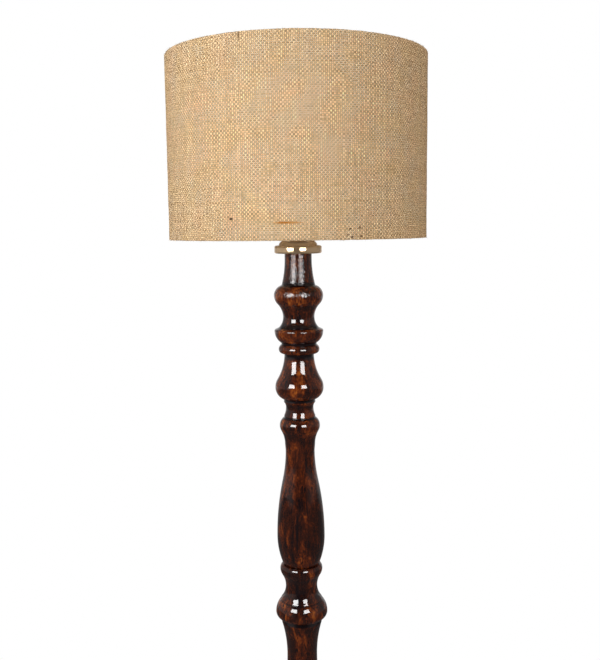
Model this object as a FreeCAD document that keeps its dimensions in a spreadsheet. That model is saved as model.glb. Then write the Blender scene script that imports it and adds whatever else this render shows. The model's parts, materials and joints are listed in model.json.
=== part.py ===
"""Candlestick floor lamp: a turned wooden column on a weighted base, with a burlap drum shade on a harp.

Every size lives in the spreadsheet "sizes" as a plain number of millimetres. Turned pieces are
revolved outlines. An outline is a list of corners, and each corner states its height and radius
by the names of sizes, so a changed size carries everything above and around it along.
"""

import FreeCAD, Part
import math
import os
import re
from collections import namedtuple

from FreeCAD import Vector
from Sketcher import Constraint

SIZES = {
    # Rubber feet under the rim of the base
    "pad_height": 4.0,
    "pad_radius": 8.0,
    "pad_inset": 13.0,
    "pad_count": 4,
    # Base disc, hollowed from below
    "disc_radius": 150.0,
    "disc_lower_round": 4.0,
    "disc_wall_height": 14.0,
    "disc_upper_round": 6.0,
    "disc_fillet_width": 4.0,
    "disc_cyma_height": 16.0,
    "disc_cyma_share": 0.55,
    "disc_cyma_width": 34.0,
    "disc_top_height": 4.0,
    "rim_width": 32.0,
    "recess_depth": 30.0,
    "rabbet_depth": 3.0,
    # Steel cover, iron weight and what clamps the column
    "cover_ledge": 8.0,
    "cover_thickness": 2.0,
    "weight_gap": 8.0,
    "weight_bore_radius": 32.0,
    "weight_thickness": 12.0,
    "washer_radius": 15.0,
    "washer_thickness": 2.0,
    "nut_radius": 9.5,
    "nut_height": 6.0,
    "rod_tail": 2.0,
    # Riser between base disc and column
    "riser_bead_radius": 99.0,
    "riser_bead_depth": 5.0,
    "riser_bead_lower": 8.0,
    "riser_bead_upper": 8.0,
    "riser_fillet_width": 5.0,
    "riser_cyma_height": 16.0,
    "riser_cyma_share": 0.5,
    "riser_top_radius": 66.0,
    "riser_top_height": 4.0,
    # Joinery of the turned pieces
    "tenon_radius": 14.0,
    "tenon_length": 14.0,
    "joinery_play": 0.2,
    "rod_hole_radius": 5.4,
    # Column foot, from its torus up to the lower collar
    "foot_torus_radius": 60.0,
    "foot_torus_depth": 5.0,
    "foot_torus_lower": 9.0,
    "foot_torus_upper": 9.0,
    "foot_fillet_width": 5.0,
    "foot_bell_height": 77.0,
    "foot_bell_share": 0.36,
    "foot_waist_radius": 28.0,
    "foot_flare_height": 20.0,
    "foot_flare_depth": 8.0,
    "foot_knob_radius": 47.0,
    "foot_knob_lower": 19.0,
    "foot_knob_lower_depth": 8.0,
    "foot_knob_upper": 19.0,
    "foot_lip_height": 2.0,
    "foot_lip_width": 0.8,
    "foot_neck_flare": 6.5,
    "foot_neck_height": 24.0,
    "foot_neck_radius": 28.5,
    "foot_collar_rise": 40.0,
    "foot_collar_share": 0.7,
    "foot_collar_radius": 37.5,
    "foot_collar_upper": 9.0,
    "foot_collar_depth": 4.0,
    # Column middle: long baluster, knob, cove and collar
    "low_foot_height": 6.0,
    "low_foot_bevel": 3.3,
    "low_baluster_lower": 50.0,
    "low_baluster_depth": 8.2,
    "low_baluster_radius": 42.0,
    "low_baluster_upper": 175.8,
    "low_baluster_share": 0.64,
    "shaft_radius": 25.2,
    "shaft_flare_height": 58.8,
    "shaft_flare_depth": 8.4,
    "shaft_groove_height": 7.8,
    "shaft_groove_depth": 2.4,
    "knob_radius": 43.15,
    "knob_lower": 10.0,
    "knob_upper": 21.6,
    "knob_lip_height": 0.8,
    "knob_lip_width": 0.7,
    "cove_height": 22.6,
    "cove_depth": 8.3,
    "cove_radius": 26.3,
    "collar_rise": 30.4,
    "collar_share": 0.71,
    "collar_radius": 35.2,
    "collar_upper": 8.0,
    "collar_depth": 3.6,
    # Column upper: baluster, torus, spool, vase and ring
    "high_foot_height": 5.4,
    "high_foot_bevel": 3.0,
    "high_baluster_lower": 43.4,
    "high_baluster_depth": 7.7,
    "high_baluster_radius": 39.5,
    "high_baluster_upper": 145.6,
    "high_baluster_share": 0.66,
    "high_shaft_radius": 23.9,
    "high_shaft_height": 10.6,
    "high_shaft_flare": 0.9,
    "torus_rise": 31.6,
    "torus_share": 0.72,
    "torus_radius": 33.0,
    "torus_upper": 13.6,
    "spool_lip_height": 2.1,
    "spool_lip_width": 0.7,
    "spool_lower": 14.7,
    "spool_lower_depth": 3.3,
    "spool_radius": 22.5,
    "spool_upper": 8.6,
    "spool_upper_depth": 3.5,
    "spool_taper_height": 4.4,
    "spool_taper_depth": 0.7,
    "vase_lower": 19.9,
    "vase_radius": 39.5,
    "vase_upper": 55.2,
    "vase_share": 0.24,
    "vase_neck_radius": 24.1,
    "ring_shelf_height": 0.8,
    "ring_lower": 6.5,
    "ring_lower_depth": 4.75,
    "ring_radius": 33.25,
    "ring_upper": 7.7,
    "ring_upper_depth": 4.45,
    # Column head: cup, cove, bead and neck
    "cup_foot_height": 2.9,
    "cup_lower": 19.6,
    "cup_lower_depth": 10.85,
    "cup_radius": 39.65,
    "cup_upper": 2.5,
    "cup_upper_depth": 1.45,
    "cup_shelf_height": 2.7,
    "head_cove_height": 16.6,
    "head_cove_depth": 7.0,
    "head_cove_radius": 25.5,
    "bead_rise": 35.2,
    "bead_share": 0.61,
    "bead_radius": 39.8,
    "bead_upper": 16.7,
    "neck_quirk_height": 1.1,
    "neck_quirk_width": 0.6,
    "neck_flare_height": 41.5,
    "neck_flare_depth": 5.1,
    "neck_radius": 21.8,
    "neck_top_height": 8.3,
    # Brass cap on the neck, open underneath around a central boss
    "cap_radius": 38.1,
    "cap_lower_round": 2.5,
    "cap_band_height": 6.5,
    "cap_upper_round": 3.5,
    "cap_groove_depth": 0.8,
    "cap_groove_width": 1.6,
    "cap_dome_radius": 31.0,
    "cap_dome_height": 8.3,
    "cap_dome_round": 6.4,
    "cap_wall": 1.6,
    "cap_boss_radius": 14.0,
    # Hollow threaded rod and the flex that it carries
    "rod_radius": 5.0,
    "rod_bore_radius": 3.5,
    "rod_fit": 0.1,
    "rod_engagement": 8.0,
    "flex_radius": 2.4,
    "flex_exit_height": 4.0,
    "block_half_width": 12.0,
    "block_length": 16.0,
    "block_height": 10.0,
    "block_offset": 58.0,
    # Cord gland in the rear wall of the base
    "gland_height": 9.0,
    "gland_radius": 4.3,
    "gland_bore_radius": 3.25,
    "gland_flange_radius": 6.5,
    "gland_flange_thickness": 2.0,
    "gland_fit": 0.1,
    # Harp saddle, harp, sleeves and stud
    "saddle_half_thickness": 0.75,
    "saddle_half_span": 29.0,
    "saddle_width": 12.0,
    "saddle_side_height": 6.0,
    "saddle_tab_width": 4.4,
    "saddle_tab_height": 9.0,
    "sleeve_height": 14.0,
    "sleeve_radius": 4.2,
    "sleeve_wall": 0.8,
    "harp_wire_radius": 1.6,
    "harp_height": 254.0,
    "harp_leg_height": 18.0,
    "harp_half_width": 55.0,
    "harp_shoulder_height": 48.0,
    "harp_shoulder_share": 0.5,
    "harp_top_bend": 42.0,
    "harp_plate_radius": 8.0,
    "harp_plate_thickness": 4.0,
    "harp_wire_drop": 2.0,
    "harp_wire_end": 6.0,
    "stud_radius": 3.0,
    "stud_head_radius": 5.0,
    "stud_head_height": 2.0,
    "stud_length": 12.0,
    "stud_fit": 0.1,
    # Finial
    "finial_neck_radius": 7.0,
    "finial_lip_height": 1.5,
    "finial_neck_height": 4.5,
    "finial_waist_radius": 4.6,
    "finial_knob_radius": 8.5,
    "finial_knob_lower": 6.0,
    "finial_bore_spare": 0.5,
    # Medium screw socket
    "socket_collar_radius": 8.5,
    "socket_collar_height": 5.0,
    "socket_cap_radius": 17.2,
    "socket_dome_height": 9.0,
    "socket_cap_rim": 4.5,
    "socket_wall": 0.8,
    "socket_fit": 0.2,
    "socket_floor_height": 12.0,
    "socket_block_height": 16.0,
    "socket_shell_height": 48.0,
    "liner_thickness": 0.6,
    "liner_recess": 1.5,
    "screw_shell_radius": 13.9,
    "screw_shell_wall": 0.5,
    "screw_shell_height": 28.0,
    "spring_height": 3.5,
    "spring_reach": 9.0,
    "spring_nose": 4.0,
    "spring_width": 5.0,
    "spring_thickness": 0.6,
    # Turn switch of the socket
    "switch_height": 10.0,
    "spindle_radius": 2.0,
    "spindle_length": 21.0,
    "spindle_depth": 3.0,
    "switch_play": 0.5,
    "switch_knob_radius": 6.5,
    "switch_knob_length": 14.0,
    "switch_knob_gap": 8.0,
    "switch_knob_round": 2.0,
    # Bulb with a medium screw cap
    "tip_radius": 3.2,
    "tip_height": 2.0,
    "insulator_height": 3.5,
    "insulator_radius": 9.5,
    "bulb_cap_radius": 13.1,
    "bulb_cap_shoulder": 2.0,
    "bulb_cap_height": 19.0,
    "bulb_neck_radius": 13.6,
    "bulb_neck_height": 7.0,
    "bulb_body_height": 34.0,
    "bulb_body_share": 0.45,
    "bulb_body_radius": 28.5,
    "led_board_radius": 25.0,
    "led_board_thickness": 1.6,
    "bulb_skirt_height": 8.0,
    "bulb_skirt_depth": 1.5,
    "bulb_radius": 30.0,
    "bulb_wall": 1.4,
    # Drum shade
    "shade_radius": 203.2,
    "shade_height": 279.4,
    "spider_drop": 27.5,
    "jute_thickness": 1.2,
    "shade_liner_thickness": 0.6,
    "hem_width": 5.6,
    "ring_wire_radius": 1.6,
    "ring_play": 0.1,
    "spider_arm_count": 3,
    "spider_arm_radius": 1.4,
    "spider_arm_lift": 0.8,
    "spider_arm_bend": 10.0,
    "spider_arm_start": 10.0,
    "hub_radius": 11.0,
    "hub_half_thickness": 1.0,
    "hub_play": 0.3,
}

doc = FreeCAD.newDocument("candlestick_floor_lamp")
nodes = []


# --- The spreadsheet, and sums of its names ---------------------------------------------------


def write_sheet():
    """Put every size into the sheet, its name beside it."""
    sheet = doc.addObject("Spreadsheet::Sheet", "sizes")
    for row, (name, number) in enumerate(SIZES.items(), start=1):
        sheet.set(f"A{row}", name)
        sheet.set(f"B{row}", str(number))
        sheet.setAlias(f"B{row}", name)
    doc.recompute()


def amount(text):
    """The number of millimetres that a sum such as "pad_height+cover_thickness" stands for."""
    terms = re.findall(r"([+-]?)(\w+)", text)
    return sum(-SIZES[name] if sign == "-" else SIZES[name] for sign, name in terms)


def formula(text):
    """The same sum as an expression on the sheet."""
    return re.sub(r"([a-z]\w*)", r"sizes.\1", text)


# --- Outlines -----------------------------------------------------------------------------------

# How a corner is written:
#   height "0" on the base line, "=" level with the corner before it, "+a" or "-a" a step up or
#       down from it, "a" that far above the base line.
#   radius "0" on the axis, "=" plumb with the corner before it, "+a" or "-a" a step out or in,
#       ">a" or "<a" wider or narrower than the corner after it, "a" that far from the axis.
#   edge is the line that leads to the corner: "line"; "round_from" or "round_to", an arc that
#       runs along the axis at its first or its last end; "ogee" or "cyma", two arcs that run
#       along the axis, or square to it, at both ends and meet on the chord at the share.
Corner = namedtuple("Corner", "height radius edge share", defaults=("line", None))


def rise(corners):
    """The height that a stack of corners climbs in all, as a sum."""
    return "".join(c.height for c in corners if c.height[0] in "+-")


def corner_places(corners):
    """Where the corners lie, as (radius, height) pairs for the solver to start from."""

    def radius(i):
        text = corners[i].radius
        if text == "0":
            return 0.0
        if text == "=":
            return radius(i - 1)
        neighbour = {"+": i - 1, "-": i - 1, ">": i + 1, "<": i + 1}.get(text[0])
        if neighbour is None:
            return amount(text)
        step = amount(text[1:])
        return radius(neighbour) + (step if text[0] in "+>" else -step)

    places = []
    height = 0.0
    for i, corner in enumerate(corners):
        text = corner.height
        if text == "0":
            height = 0.0
        elif text[0] in "+-":
            height += amount(text[1:]) * (1 if text[0] == "+" else -1)
        elif text != "=":
            height = amount(text)
        places.append((radius(i), height))
    return places


def arc_centre(square, other, plumb):
    """Centre of the arc through both points that runs square to the centre's row or column."""
    dr = other[0] - square[0]
    dz = other[1] - square[1]
    reach = (dr * dr + dz * dz) / 2
    if plumb:
        return square[0], square[1] + reach / dz
    return square[0] + reach / dr, square[1]


def negative(text):
    """A sum with every sign turned round, to take it away from another."""
    return re.sub(r"([+-]?)(\w+)", lambda term: ("+" if term[1] == "-" else "-") + term[2], text)


class Outline:
    """A fully constrained sketch of corners, closed or open, on a plane through a body's axis."""

    def __init__(self, body, corners, name, plane="XZ_Plane", closed=True):
        self.sketch = new_sketch(body, name, plane)
        places = corner_places(corners)
        self.starts = []
        self.ends = []
        for i, corner in enumerate(corners):
            if i or closed:
                self.add_edge(places[i - 1], places[i], corner)
        if not closed:
            self.starts.insert(0, None)
            self.ends.insert(0, self.starts[1])
        for i, corner in enumerate(corners):
            if i > 1 or closed:
                self.sketch.addConstraint(Constraint("Coincident", *self.ends[i - 1], *self.starts[i]))
            self.fix_height(i, corner.height, places)
            self.fix_radius(i, corner.radius, places, (i + 1) % len(corners))

    def add_edge(self, start, end, corner):
        """Draw the edge that leads to a corner."""
        if corner.edge == "line":
            line = self.add_line(start, end)
            self.starts.append((line, 1))
            self.ends.append((line, 2))
            return
        if corner.edge in ("round_from", "round_to"):
            arc = self.add_arc(start, end, corner.edge == "round_from", plumb=False)
            self.starts.append(arc[0])
            self.ends.append(arc[1])
            return
        share = SIZES[corner.share]
        middle = tuple(a + share * (b - a) for a, b in zip(start, end))
        plumb = corner.edge == "cyma"
        first = self.add_arc(start, middle, True, plumb)
        second = self.add_arc(middle, end, False, plumb)
        chord = self.add_line(start, end)
        sketch = self.sketch
        sketch.setConstruction(chord, True)
        sketch.addConstraint(Constraint("Coincident", *first[1], *second[0]))
        sketch.addConstraint(Constraint("Coincident", chord, 1, *first[0]))
        sketch.addConstraint(Constraint("Coincident", chord, 2, *second[1]))
        sketch.addConstraint(Constraint("PointOnObject", *first[1], chord))
        climb = corner.height[1:]
        self.distance("DistanceY", first[0], first[1], middle[1] - start[1],
                      f"({formula(climb)})*sizes.{corner.share}")
        self.starts.append(first[0])
        self.ends.append(second[1])

    def add_line(self, start, end):
        """A straight line between two places."""
        return self.sketch.addGeometry(Part.LineSegment(Vector(*start, 0), Vector(*end, 0)))

    def add_arc(self, start, end, square_at_start, plumb):
        """An arc between two places; returns the references of its start and its end."""
        square, other = (start, end) if square_at_start else (end, start)
        centre = Vector(*arc_centre(square, other, plumb), 0)
        from_centre = [Vector(*place, 0) - centre for place in (start, end)]
        turns_left = from_centre[0].cross(from_centre[1]).z > 0
        first, last = from_centre if turns_left else reversed(from_centre)
        circle = Part.Circle(centre, Vector(0, 0, 1), first.Length)
        angles = [math.atan2(v.y, v.x) for v in (first, last)]
        arc = self.sketch.addGeometry(Part.ArcOfCircle(circle, *angles))
        references = [(arc, 1), (arc, 2)] if turns_left else [(arc, 2), (arc, 1)]
        kind = "Vertical" if plumb else "Horizontal"
        square_end = references[0] if square_at_start else references[1]
        self.sketch.addConstraint(Constraint(kind, arc, 3, *square_end))
        return references

    def distance(self, kind, near, far, number, expression):
        """A distance along X or Y between two points, bound to the sheet."""
        index = self.sketch.addConstraint(Constraint(kind, *near, *far, number))
        self.sketch.setExpression(f"Constraints[{index}]", expression)

    def fix_height(self, i, text, places):
        """Give a corner its height."""
        here = self.ends[i]
        before = self.starts[i]
        if text == "0":
            self.sketch.addConstraint(Constraint("PointOnObject", *here, -1))
        elif text == "=":
            self.sketch.addConstraint(Constraint("Horizontal", *before, *here))
        elif text[0] in "+-":
            pair = (before, here) if text[0] == "+" else (here, before)
            step = abs(places[i][1] - places[i - 1][1])
            self.distance("DistanceY", *pair, step, formula(text[1:]))
        else:
            self.distance("DistanceY", (-1, 1), here, places[i][1], formula(text))

    def fix_radius(self, i, text, places, after):
        """Give a corner its radius."""
        here = self.ends[i]
        if text == "0":
            self.sketch.addConstraint(Constraint("PointOnObject", *here, -2))
        elif text == "=":
            self.sketch.addConstraint(Constraint("Vertical", *self.starts[i], *here))
        elif text[0] in "+-":
            pair = (self.starts[i], here) if text[0] == "+" else (here, self.starts[i])
            step = abs(places[i][0] - places[i - 1][0])
            self.distance("DistanceX", *pair, step, formula(text[1:]))
        elif text[0] in "<>":
            pair = (here, self.ends[after]) if text[0] == "<" else (self.ends[after], here)
            step = abs(places[i][0] - places[after][0])
            self.distance("DistanceX", *pair, step, formula(text[1:]))
        else:
            self.distance("DistanceX", (-1, 1), here, places[i][0], formula(text))


# --- Bodies, sketches and features ------------------------------------------------------------


def new_body(name, level=None):
    """A body named as its piece, standing at a level given as a sum of sizes."""
    body = doc.addObject("PartDesign::Body", name)
    body.Label = name
    body.AllowCompound = True
    if level:
        body.setExpression("Placement.Base.z", formula(level))
    nodes.append(body)
    return body


def origin_feature(body, role):
    """One of a body's own origin planes or axes."""
    return next(f for f in body.Origin.OriginFeatures if f.Role == role)


def new_sketch(body, name, plane, offset=None):
    """An empty sketch on one of the body's planes, moved along its normal by a sum of sizes."""
    sketch = body.newObject("Sketcher::SketchObject", f"{body.Label}_{name}")
    sketch.AttachmentSupport = [(origin_feature(body, plane), "")]
    sketch.MapMode = "FlatFace"
    if offset:
        sketch.setExpression("AttachmentOffset.Base.z", formula(offset))
    return sketch


def add_circle(sketch, radius, across="", up=""):
    """A circle of a radius, its centre that far across and up from the sketch's origin."""
    centre = Vector(amount(across), amount(up), 0)
    circle = sketch.addGeometry(Part.Circle(centre, Vector(0, 0, 1), amount(radius)))
    bind(sketch, Constraint("Radius", circle, amount(radius)), radius)
    place_point(sketch, (circle, 3), across, up)
    return circle


def place_point(sketch, point, across, up):
    """Tie a point to its distances from the sketch's origin; no distance means on the axis."""
    if across and up:
        bind(sketch, Constraint("DistanceX", -1, 1, *point, amount(across)), across)
        bind(sketch, Constraint("DistanceY", -1, 1, *point, amount(up)), up)
    elif across:
        bind(sketch, Constraint("DistanceX", -1, 1, *point, amount(across)), across)
        sketch.addConstraint(Constraint("PointOnObject", *point, -1))
    elif up:
        bind(sketch, Constraint("DistanceY", -1, 1, *point, amount(up)), up)
        sketch.addConstraint(Constraint("PointOnObject", *point, -2))
    else:
        sketch.addConstraint(Constraint("Coincident", *point, -1, 1))


def bind(sketch, constraint, text):
    """Add a dimension and bind it to a sum of sizes."""
    index = sketch.addConstraint(constraint)
    sketch.setExpression(f"Constraints[{index}]", formula(text))


def add_polygon(sketch, corners):
    """A closed polygon whose corners are (across, up) pairs of sums; "-a" is left of or below."""
    places = [Vector(amount(x) if x else 0, amount(y) if y else 0, 0) for x, y in corners]
    lines = []
    for i, place in enumerate(places):
        lines.append(sketch.addGeometry(Part.LineSegment(places[i - 1], place)))
    for i, (across, up) in enumerate(corners):
        sketch.addConstraint(Constraint("Coincident", lines[i - 1], 2, lines[i], 1))
        place_point(sketch, (lines[i], 2), across, up)


def revolve(body, corners, name="outline"):
    """Turn an outline of corners about the body's axis."""
    outline = Outline(body, corners, name)
    turned = body.newObject("PartDesign::Revolution", f"{body.Label}_{name}_turned")
    turned.Profile = outline.sketch
    turned.ReferenceAxis = (outline.sketch, ["V_Axis"])
    turned.Angle = 360
    outline.sketch.Visibility = False
    return turned


def lay_down(body, angle):
    """Turn a body's own axis from upright towards the front, or the rear when negative."""
    body.Placement = FreeCAD.Placement(Vector(), FreeCAD.Rotation(Vector(1, 0, 0), angle))


def pad(body, sketch, length, midplane=False, reverse=False):
    """Extrude a sketch by a sum of sizes."""
    feature = body.newObject("PartDesign::Pad", f"{sketch.Label}_pad")
    feature.Profile = sketch
    feature.setExpression("Length", formula(length))
    feature.Midplane = midplane
    feature.Reversed = reverse
    return feature


def pocket(body, sketch, length, reverse=False):
    """Cut a sketch into the body by a sum of sizes, and make sure that it cuts."""
    doc.recompute()
    before = body.Shape.Volume
    feature = body.newObject("PartDesign::Pocket", f"{sketch.Label}_pocket")
    feature.Profile = sketch
    feature.setExpression("Length", formula(length))
    feature.Reversed = reverse
    doc.recompute()
    if body.Shape.Volume > before - 1:
        raise RuntimeError(f"{feature.Label} cuts nothing")
    return feature


def pipe(body, path, section):
    """Sweep a section along a path."""
    feature = body.newObject("PartDesign::AdditivePipe", f"{path.Label}_pipe")
    feature.Profile = section
    feature.Spine = path
    return feature


def polar_copies(body, feature, count):
    """Repeat a feature round the body's axis."""
    pattern = body.newObject("PartDesign::PolarPattern", f"{feature.Label}_copies")
    pattern.Originals = [feature]
    pattern.Axis = (origin_feature(body, "Z_Axis"), [""])
    pattern.Angle = 360
    pattern.setExpression("Occurrences", formula(count))
    body.Tip = pattern
    return pattern


def tube(name, level, inner, outer, height):
    """A plain turned tube, or a cylinder where the inner radius is "0"."""
    body = new_body(name, level)
    revolve(body, [Corner("0", inner), Corner("=", outer), Corner("+" + height, "="), Corner("=", inner)])
    return body


# --- Outer outlines of the turned wooden pieces, bottom to top ----------------------------------

DISC = [
    Corner("0", "<disc_lower_round"),
    Corner("+disc_lower_round", "disc_radius", "round_to"),
    Corner("+disc_wall_height", "="),
    Corner("+disc_upper_round", "-disc_upper_round", "round_from"),
    Corner("=", "-disc_fillet_width"),
    Corner("+disc_cyma_height", "-disc_cyma_width", "cyma", "disc_cyma_share"),
    Corner("+disc_top_height", "="),
]
RISER = [
    Corner("0", "<riser_bead_depth"),
    Corner("+riser_bead_lower", "riser_bead_radius", "round_to"),
    Corner("+riser_bead_upper", "-riser_bead_depth", "round_from"),
    Corner("=", "-riser_fillet_width"),
    Corner("+riser_cyma_height", "riser_top_radius", "cyma", "riser_cyma_share"),
    Corner("+riser_top_height", "="),
]
FOOT = [
    Corner("0", "<foot_torus_depth"),
    Corner("+foot_torus_lower", "foot_torus_radius", "round_to"),
    Corner("+foot_torus_upper", "-foot_torus_depth", "round_from"),
    Corner("=", "-foot_fillet_width"),
    Corner("+foot_bell_height", "foot_waist_radius", "ogee", "foot_bell_share"),
    Corner("+foot_flare_height", "+foot_flare_depth", "round_from"),
    Corner("=", "<foot_knob_lower_depth"),
    Corner("+foot_knob_lower", "foot_knob_radius", "round_to"),
    Corner("+foot_knob_upper", "<foot_lip_width", "round_from"),
    Corner("+foot_lip_height", ">foot_neck_flare"),
    Corner("+foot_neck_height", "foot_neck_radius", "round_to"),
    Corner("+foot_collar_rise", "foot_collar_radius", "ogee", "foot_collar_share"),
    Corner("+foot_collar_upper", "-foot_collar_depth", "round_from"),
]
MIDDLE = [
    Corner("0", "<low_foot_bevel"),
    Corner("+low_foot_height", "<low_baluster_depth"),
    Corner("+low_baluster_lower", "low_baluster_radius", "round_to"),
    Corner("+low_baluster_upper", "shaft_radius", "ogee", "low_baluster_share"),
    Corner("+shaft_flare_height", "+shaft_flare_depth", "round_from"),
    Corner("+shaft_groove_height", "-shaft_groove_depth"),
    Corner("=", "<knob_lower"),
    Corner("+knob_lower", "knob_radius", "round_to"),
    Corner("+knob_upper", "<knob_lip_width", "round_from"),
    Corner("+knob_lip_height", ">cove_depth"),
    Corner("+cove_height", "cove_radius", "round_to"),
    Corner("+collar_rise", "collar_radius", "ogee", "collar_share"),
    Corner("+collar_upper", "-collar_depth", "round_from"),
]
UPPER = [
    Corner("0", "<high_foot_bevel"),
    Corner("+high_foot_height", "<high_baluster_depth"),
    Corner("+high_baluster_lower", "high_baluster_radius", "round_to"),
    Corner("+high_baluster_upper", "high_shaft_radius", "ogee", "high_baluster_share"),
    Corner("+high_shaft_height", "+high_shaft_flare"),
    Corner("+torus_rise", "torus_radius", "ogee", "torus_share"),
    Corner("+torus_upper", "<spool_lip_width", "round_from"),
    Corner("+spool_lip_height", ">spool_lower_depth"),
    Corner("+spool_lower", "spool_radius", "round_to"),
    Corner("+spool_upper", "+spool_upper_depth", "round_from"),
    Corner("+spool_taper_height", "-spool_taper_depth"),
    Corner("+vase_lower", "vase_radius", "round_to"),
    Corner("+vase_upper", "vase_neck_radius", "ogee", "vase_share"),
    Corner("+ring_shelf_height", "<ring_lower_depth"),
    Corner("+ring_lower", "ring_radius", "round_to"),
    Corner("+ring_upper", "-ring_upper_depth", "round_from"),
]
HEAD = [
    Corner("0", "cup_radius-cup_lower_depth"),
    Corner("+cup_foot_height", "="),
    Corner("+cup_lower", "cup_radius", "round_to"),
    Corner("+cup_upper", "-cup_upper_depth", "round_from"),
    Corner("+cup_shelf_height", ">head_cove_depth"),
    Corner("+head_cove_height", "head_cove_radius", "round_to"),
    Corner("+bead_rise", "bead_radius", "ogee", "bead_share"),
    Corner("+bead_upper", ">neck_quirk_width", "round_from"),
    Corner("+neck_quirk_height", ">neck_flare_depth"),
    Corner("+neck_flare_height", "neck_radius", "round_to"),
    Corner("+neck_top_height", "="),
]
CAP = [
    Corner("0", "<cap_lower_round"),
    Corner("+cap_lower_round", "cap_radius", "round_to"),
    Corner("+cap_band_height", "="),
    Corner("+cap_upper_round", "-cap_upper_round", "round_from"),
    Corner("-cap_groove_depth", "-cap_groove_width"),
    Corner("=", "cap_dome_radius"),
    Corner("+cap_dome_height", "-cap_dome_round", "round_from"),
]

# Heights above the floor, as sums of sizes, and radii that several pieces share
DISC_LEVEL = "pad_height"
RISER_LEVEL = DISC_LEVEL + rise(DISC)
FOOT_LEVEL = RISER_LEVEL + rise(RISER)
MIDDLE_LEVEL = FOOT_LEVEL + rise(FOOT)
UPPER_LEVEL = MIDDLE_LEVEL + rise(MIDDLE)
HEAD_LEVEL = UPPER_LEVEL + rise(UPPER)
CAP_LEVEL = HEAD_LEVEL + rise(HEAD)
SADDLE_LEVEL = CAP_LEVEL + rise(CAP)
SADDLE_THICKNESS = "saddle_half_thickness+saddle_half_thickness"
SOCKET_LEVEL = SADDLE_LEVEL + "+" + SADDLE_THICKNESS
SLEEVE_LEVEL = SADDLE_LEVEL + "+saddle_side_height"
HARP_FOOT_LEVEL = SLEEVE_LEVEL + "+saddle_tab_height"
HARP_RISE = SADDLE_THICKNESS + "+harp_height-saddle_side_height-saddle_tab_height"
HUB_LEVEL = SOCKET_LEVEL + "+harp_height"
HUB_THICKNESS = "hub_half_thickness+hub_half_thickness"
FINIAL_LEVEL = HUB_LEVEL + "+" + HUB_THICKNESS
SHADE_TOP = HUB_LEVEL + "+spider_drop"
SHADE_LEVEL = SHADE_TOP + "-shade_height"
COVER_TOP = DISC_LEVEL + "+rabbet_depth"
WASHER_LEVEL = DISC_LEVEL + "+recess_depth-washer_thickness"
NUT_LEVEL = WASHER_LEVEL + "-nut_height"
ROD_LEVEL = NUT_LEVEL + "-rod_tail"
FLEX_LEVEL = COVER_TOP + "+flex_exit_height"
FLEX_BEND = "recess_depth-washer_thickness-nut_height-rod_tail-rabbet_depth-flex_exit_height"
BLOCK_TOP = "socket_floor_height+socket_block_height"
SHELL_FLOOR = "socket_collar_height+socket_dome_height"
SHELL_RADIUS = "socket_cap_radius-socket_wall-socket_fit"
SHELL_BORE = SHELL_RADIUS + "-socket_wall"
INSIDE_SHELL = SHELL_BORE + "-socket_fit"
SWITCH_LEVEL = SOCKET_LEVEL + "+socket_floor_height+switch_height"
TIP_LEVEL = SOCKET_LEVEL + "+" + BLOCK_TOP + "+spring_height"
BULB_CAP_LEVEL = TIP_LEVEL + "+tip_height+insulator_height"
BULB_BODY_LEVEL = BULB_CAP_LEVEL + "+bulb_cap_shoulder+bulb_cap_height"
BULB_DOME_LEVEL = BULB_BODY_LEVEL + "+bulb_neck_height+bulb_body_height"
RECESS = "disc_radius-rim_width"
COVER = RECESS + "+cover_ledge"
LINER_BORE = "shade_radius-jute_thickness-shade_liner_thickness"
WIRE_RING = LINER_BORE + "-ring_play-ring_wire_radius"
RING_INSET = "jute_thickness+ring_play+ring_wire_radius"


# --- The base -------------------------------------------------------------------------------------


def turned_section(name, level, outer):
    """A turned wooden piece: rod hole, tenon on top and a socket for the tenon below."""
    tenon = [
        Corner("=", "tenon_radius"),
        Corner("+tenon_length", "="),
        Corner("=", "rod_hole_radius"),
    ]
    mortise = [
        Corner("tenon_length+joinery_play", "="),
        Corner("=", "tenon_radius+joinery_play"),
        Corner("0", "="),
    ]
    body = new_body(name, level)
    revolve(body, outer + tenon + mortise)
    return body


def make_feet():
    """Rubber pads under the rim."""
    body = new_body("feet")
    sketch = new_sketch(body, "circle", "XY_Plane")
    add_circle(sketch, "pad_radius", across="disc_radius-pad_inset")
    polar_copies(body, pad(body, sketch, "pad_height"), "pad_count")


def make_base_disc():
    """Moulded disc with a tenon on top, a recess and a rabbet below and a hole for the cord gland."""
    body = new_body("base_disc", DISC_LEVEL)
    inside = [
        Corner("=", "tenon_radius"),
        Corner("+tenon_length", "="),
        Corner("=", "rod_hole_radius"),
        Corner("recess_depth", "="),
        Corner("=", RECESS),
        Corner("rabbet_depth", "="),
        Corner("=", COVER + "+joinery_play"),
        Corner("0", "="),
    ]
    revolve(body, DISC + inside)
    hole = new_sketch(body, "cord_hole", "XZ_Plane")
    add_circle(hole, "gland_radius+gland_fit", up="gland_height")
    pocket(body, hole, "disc_radius")


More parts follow.
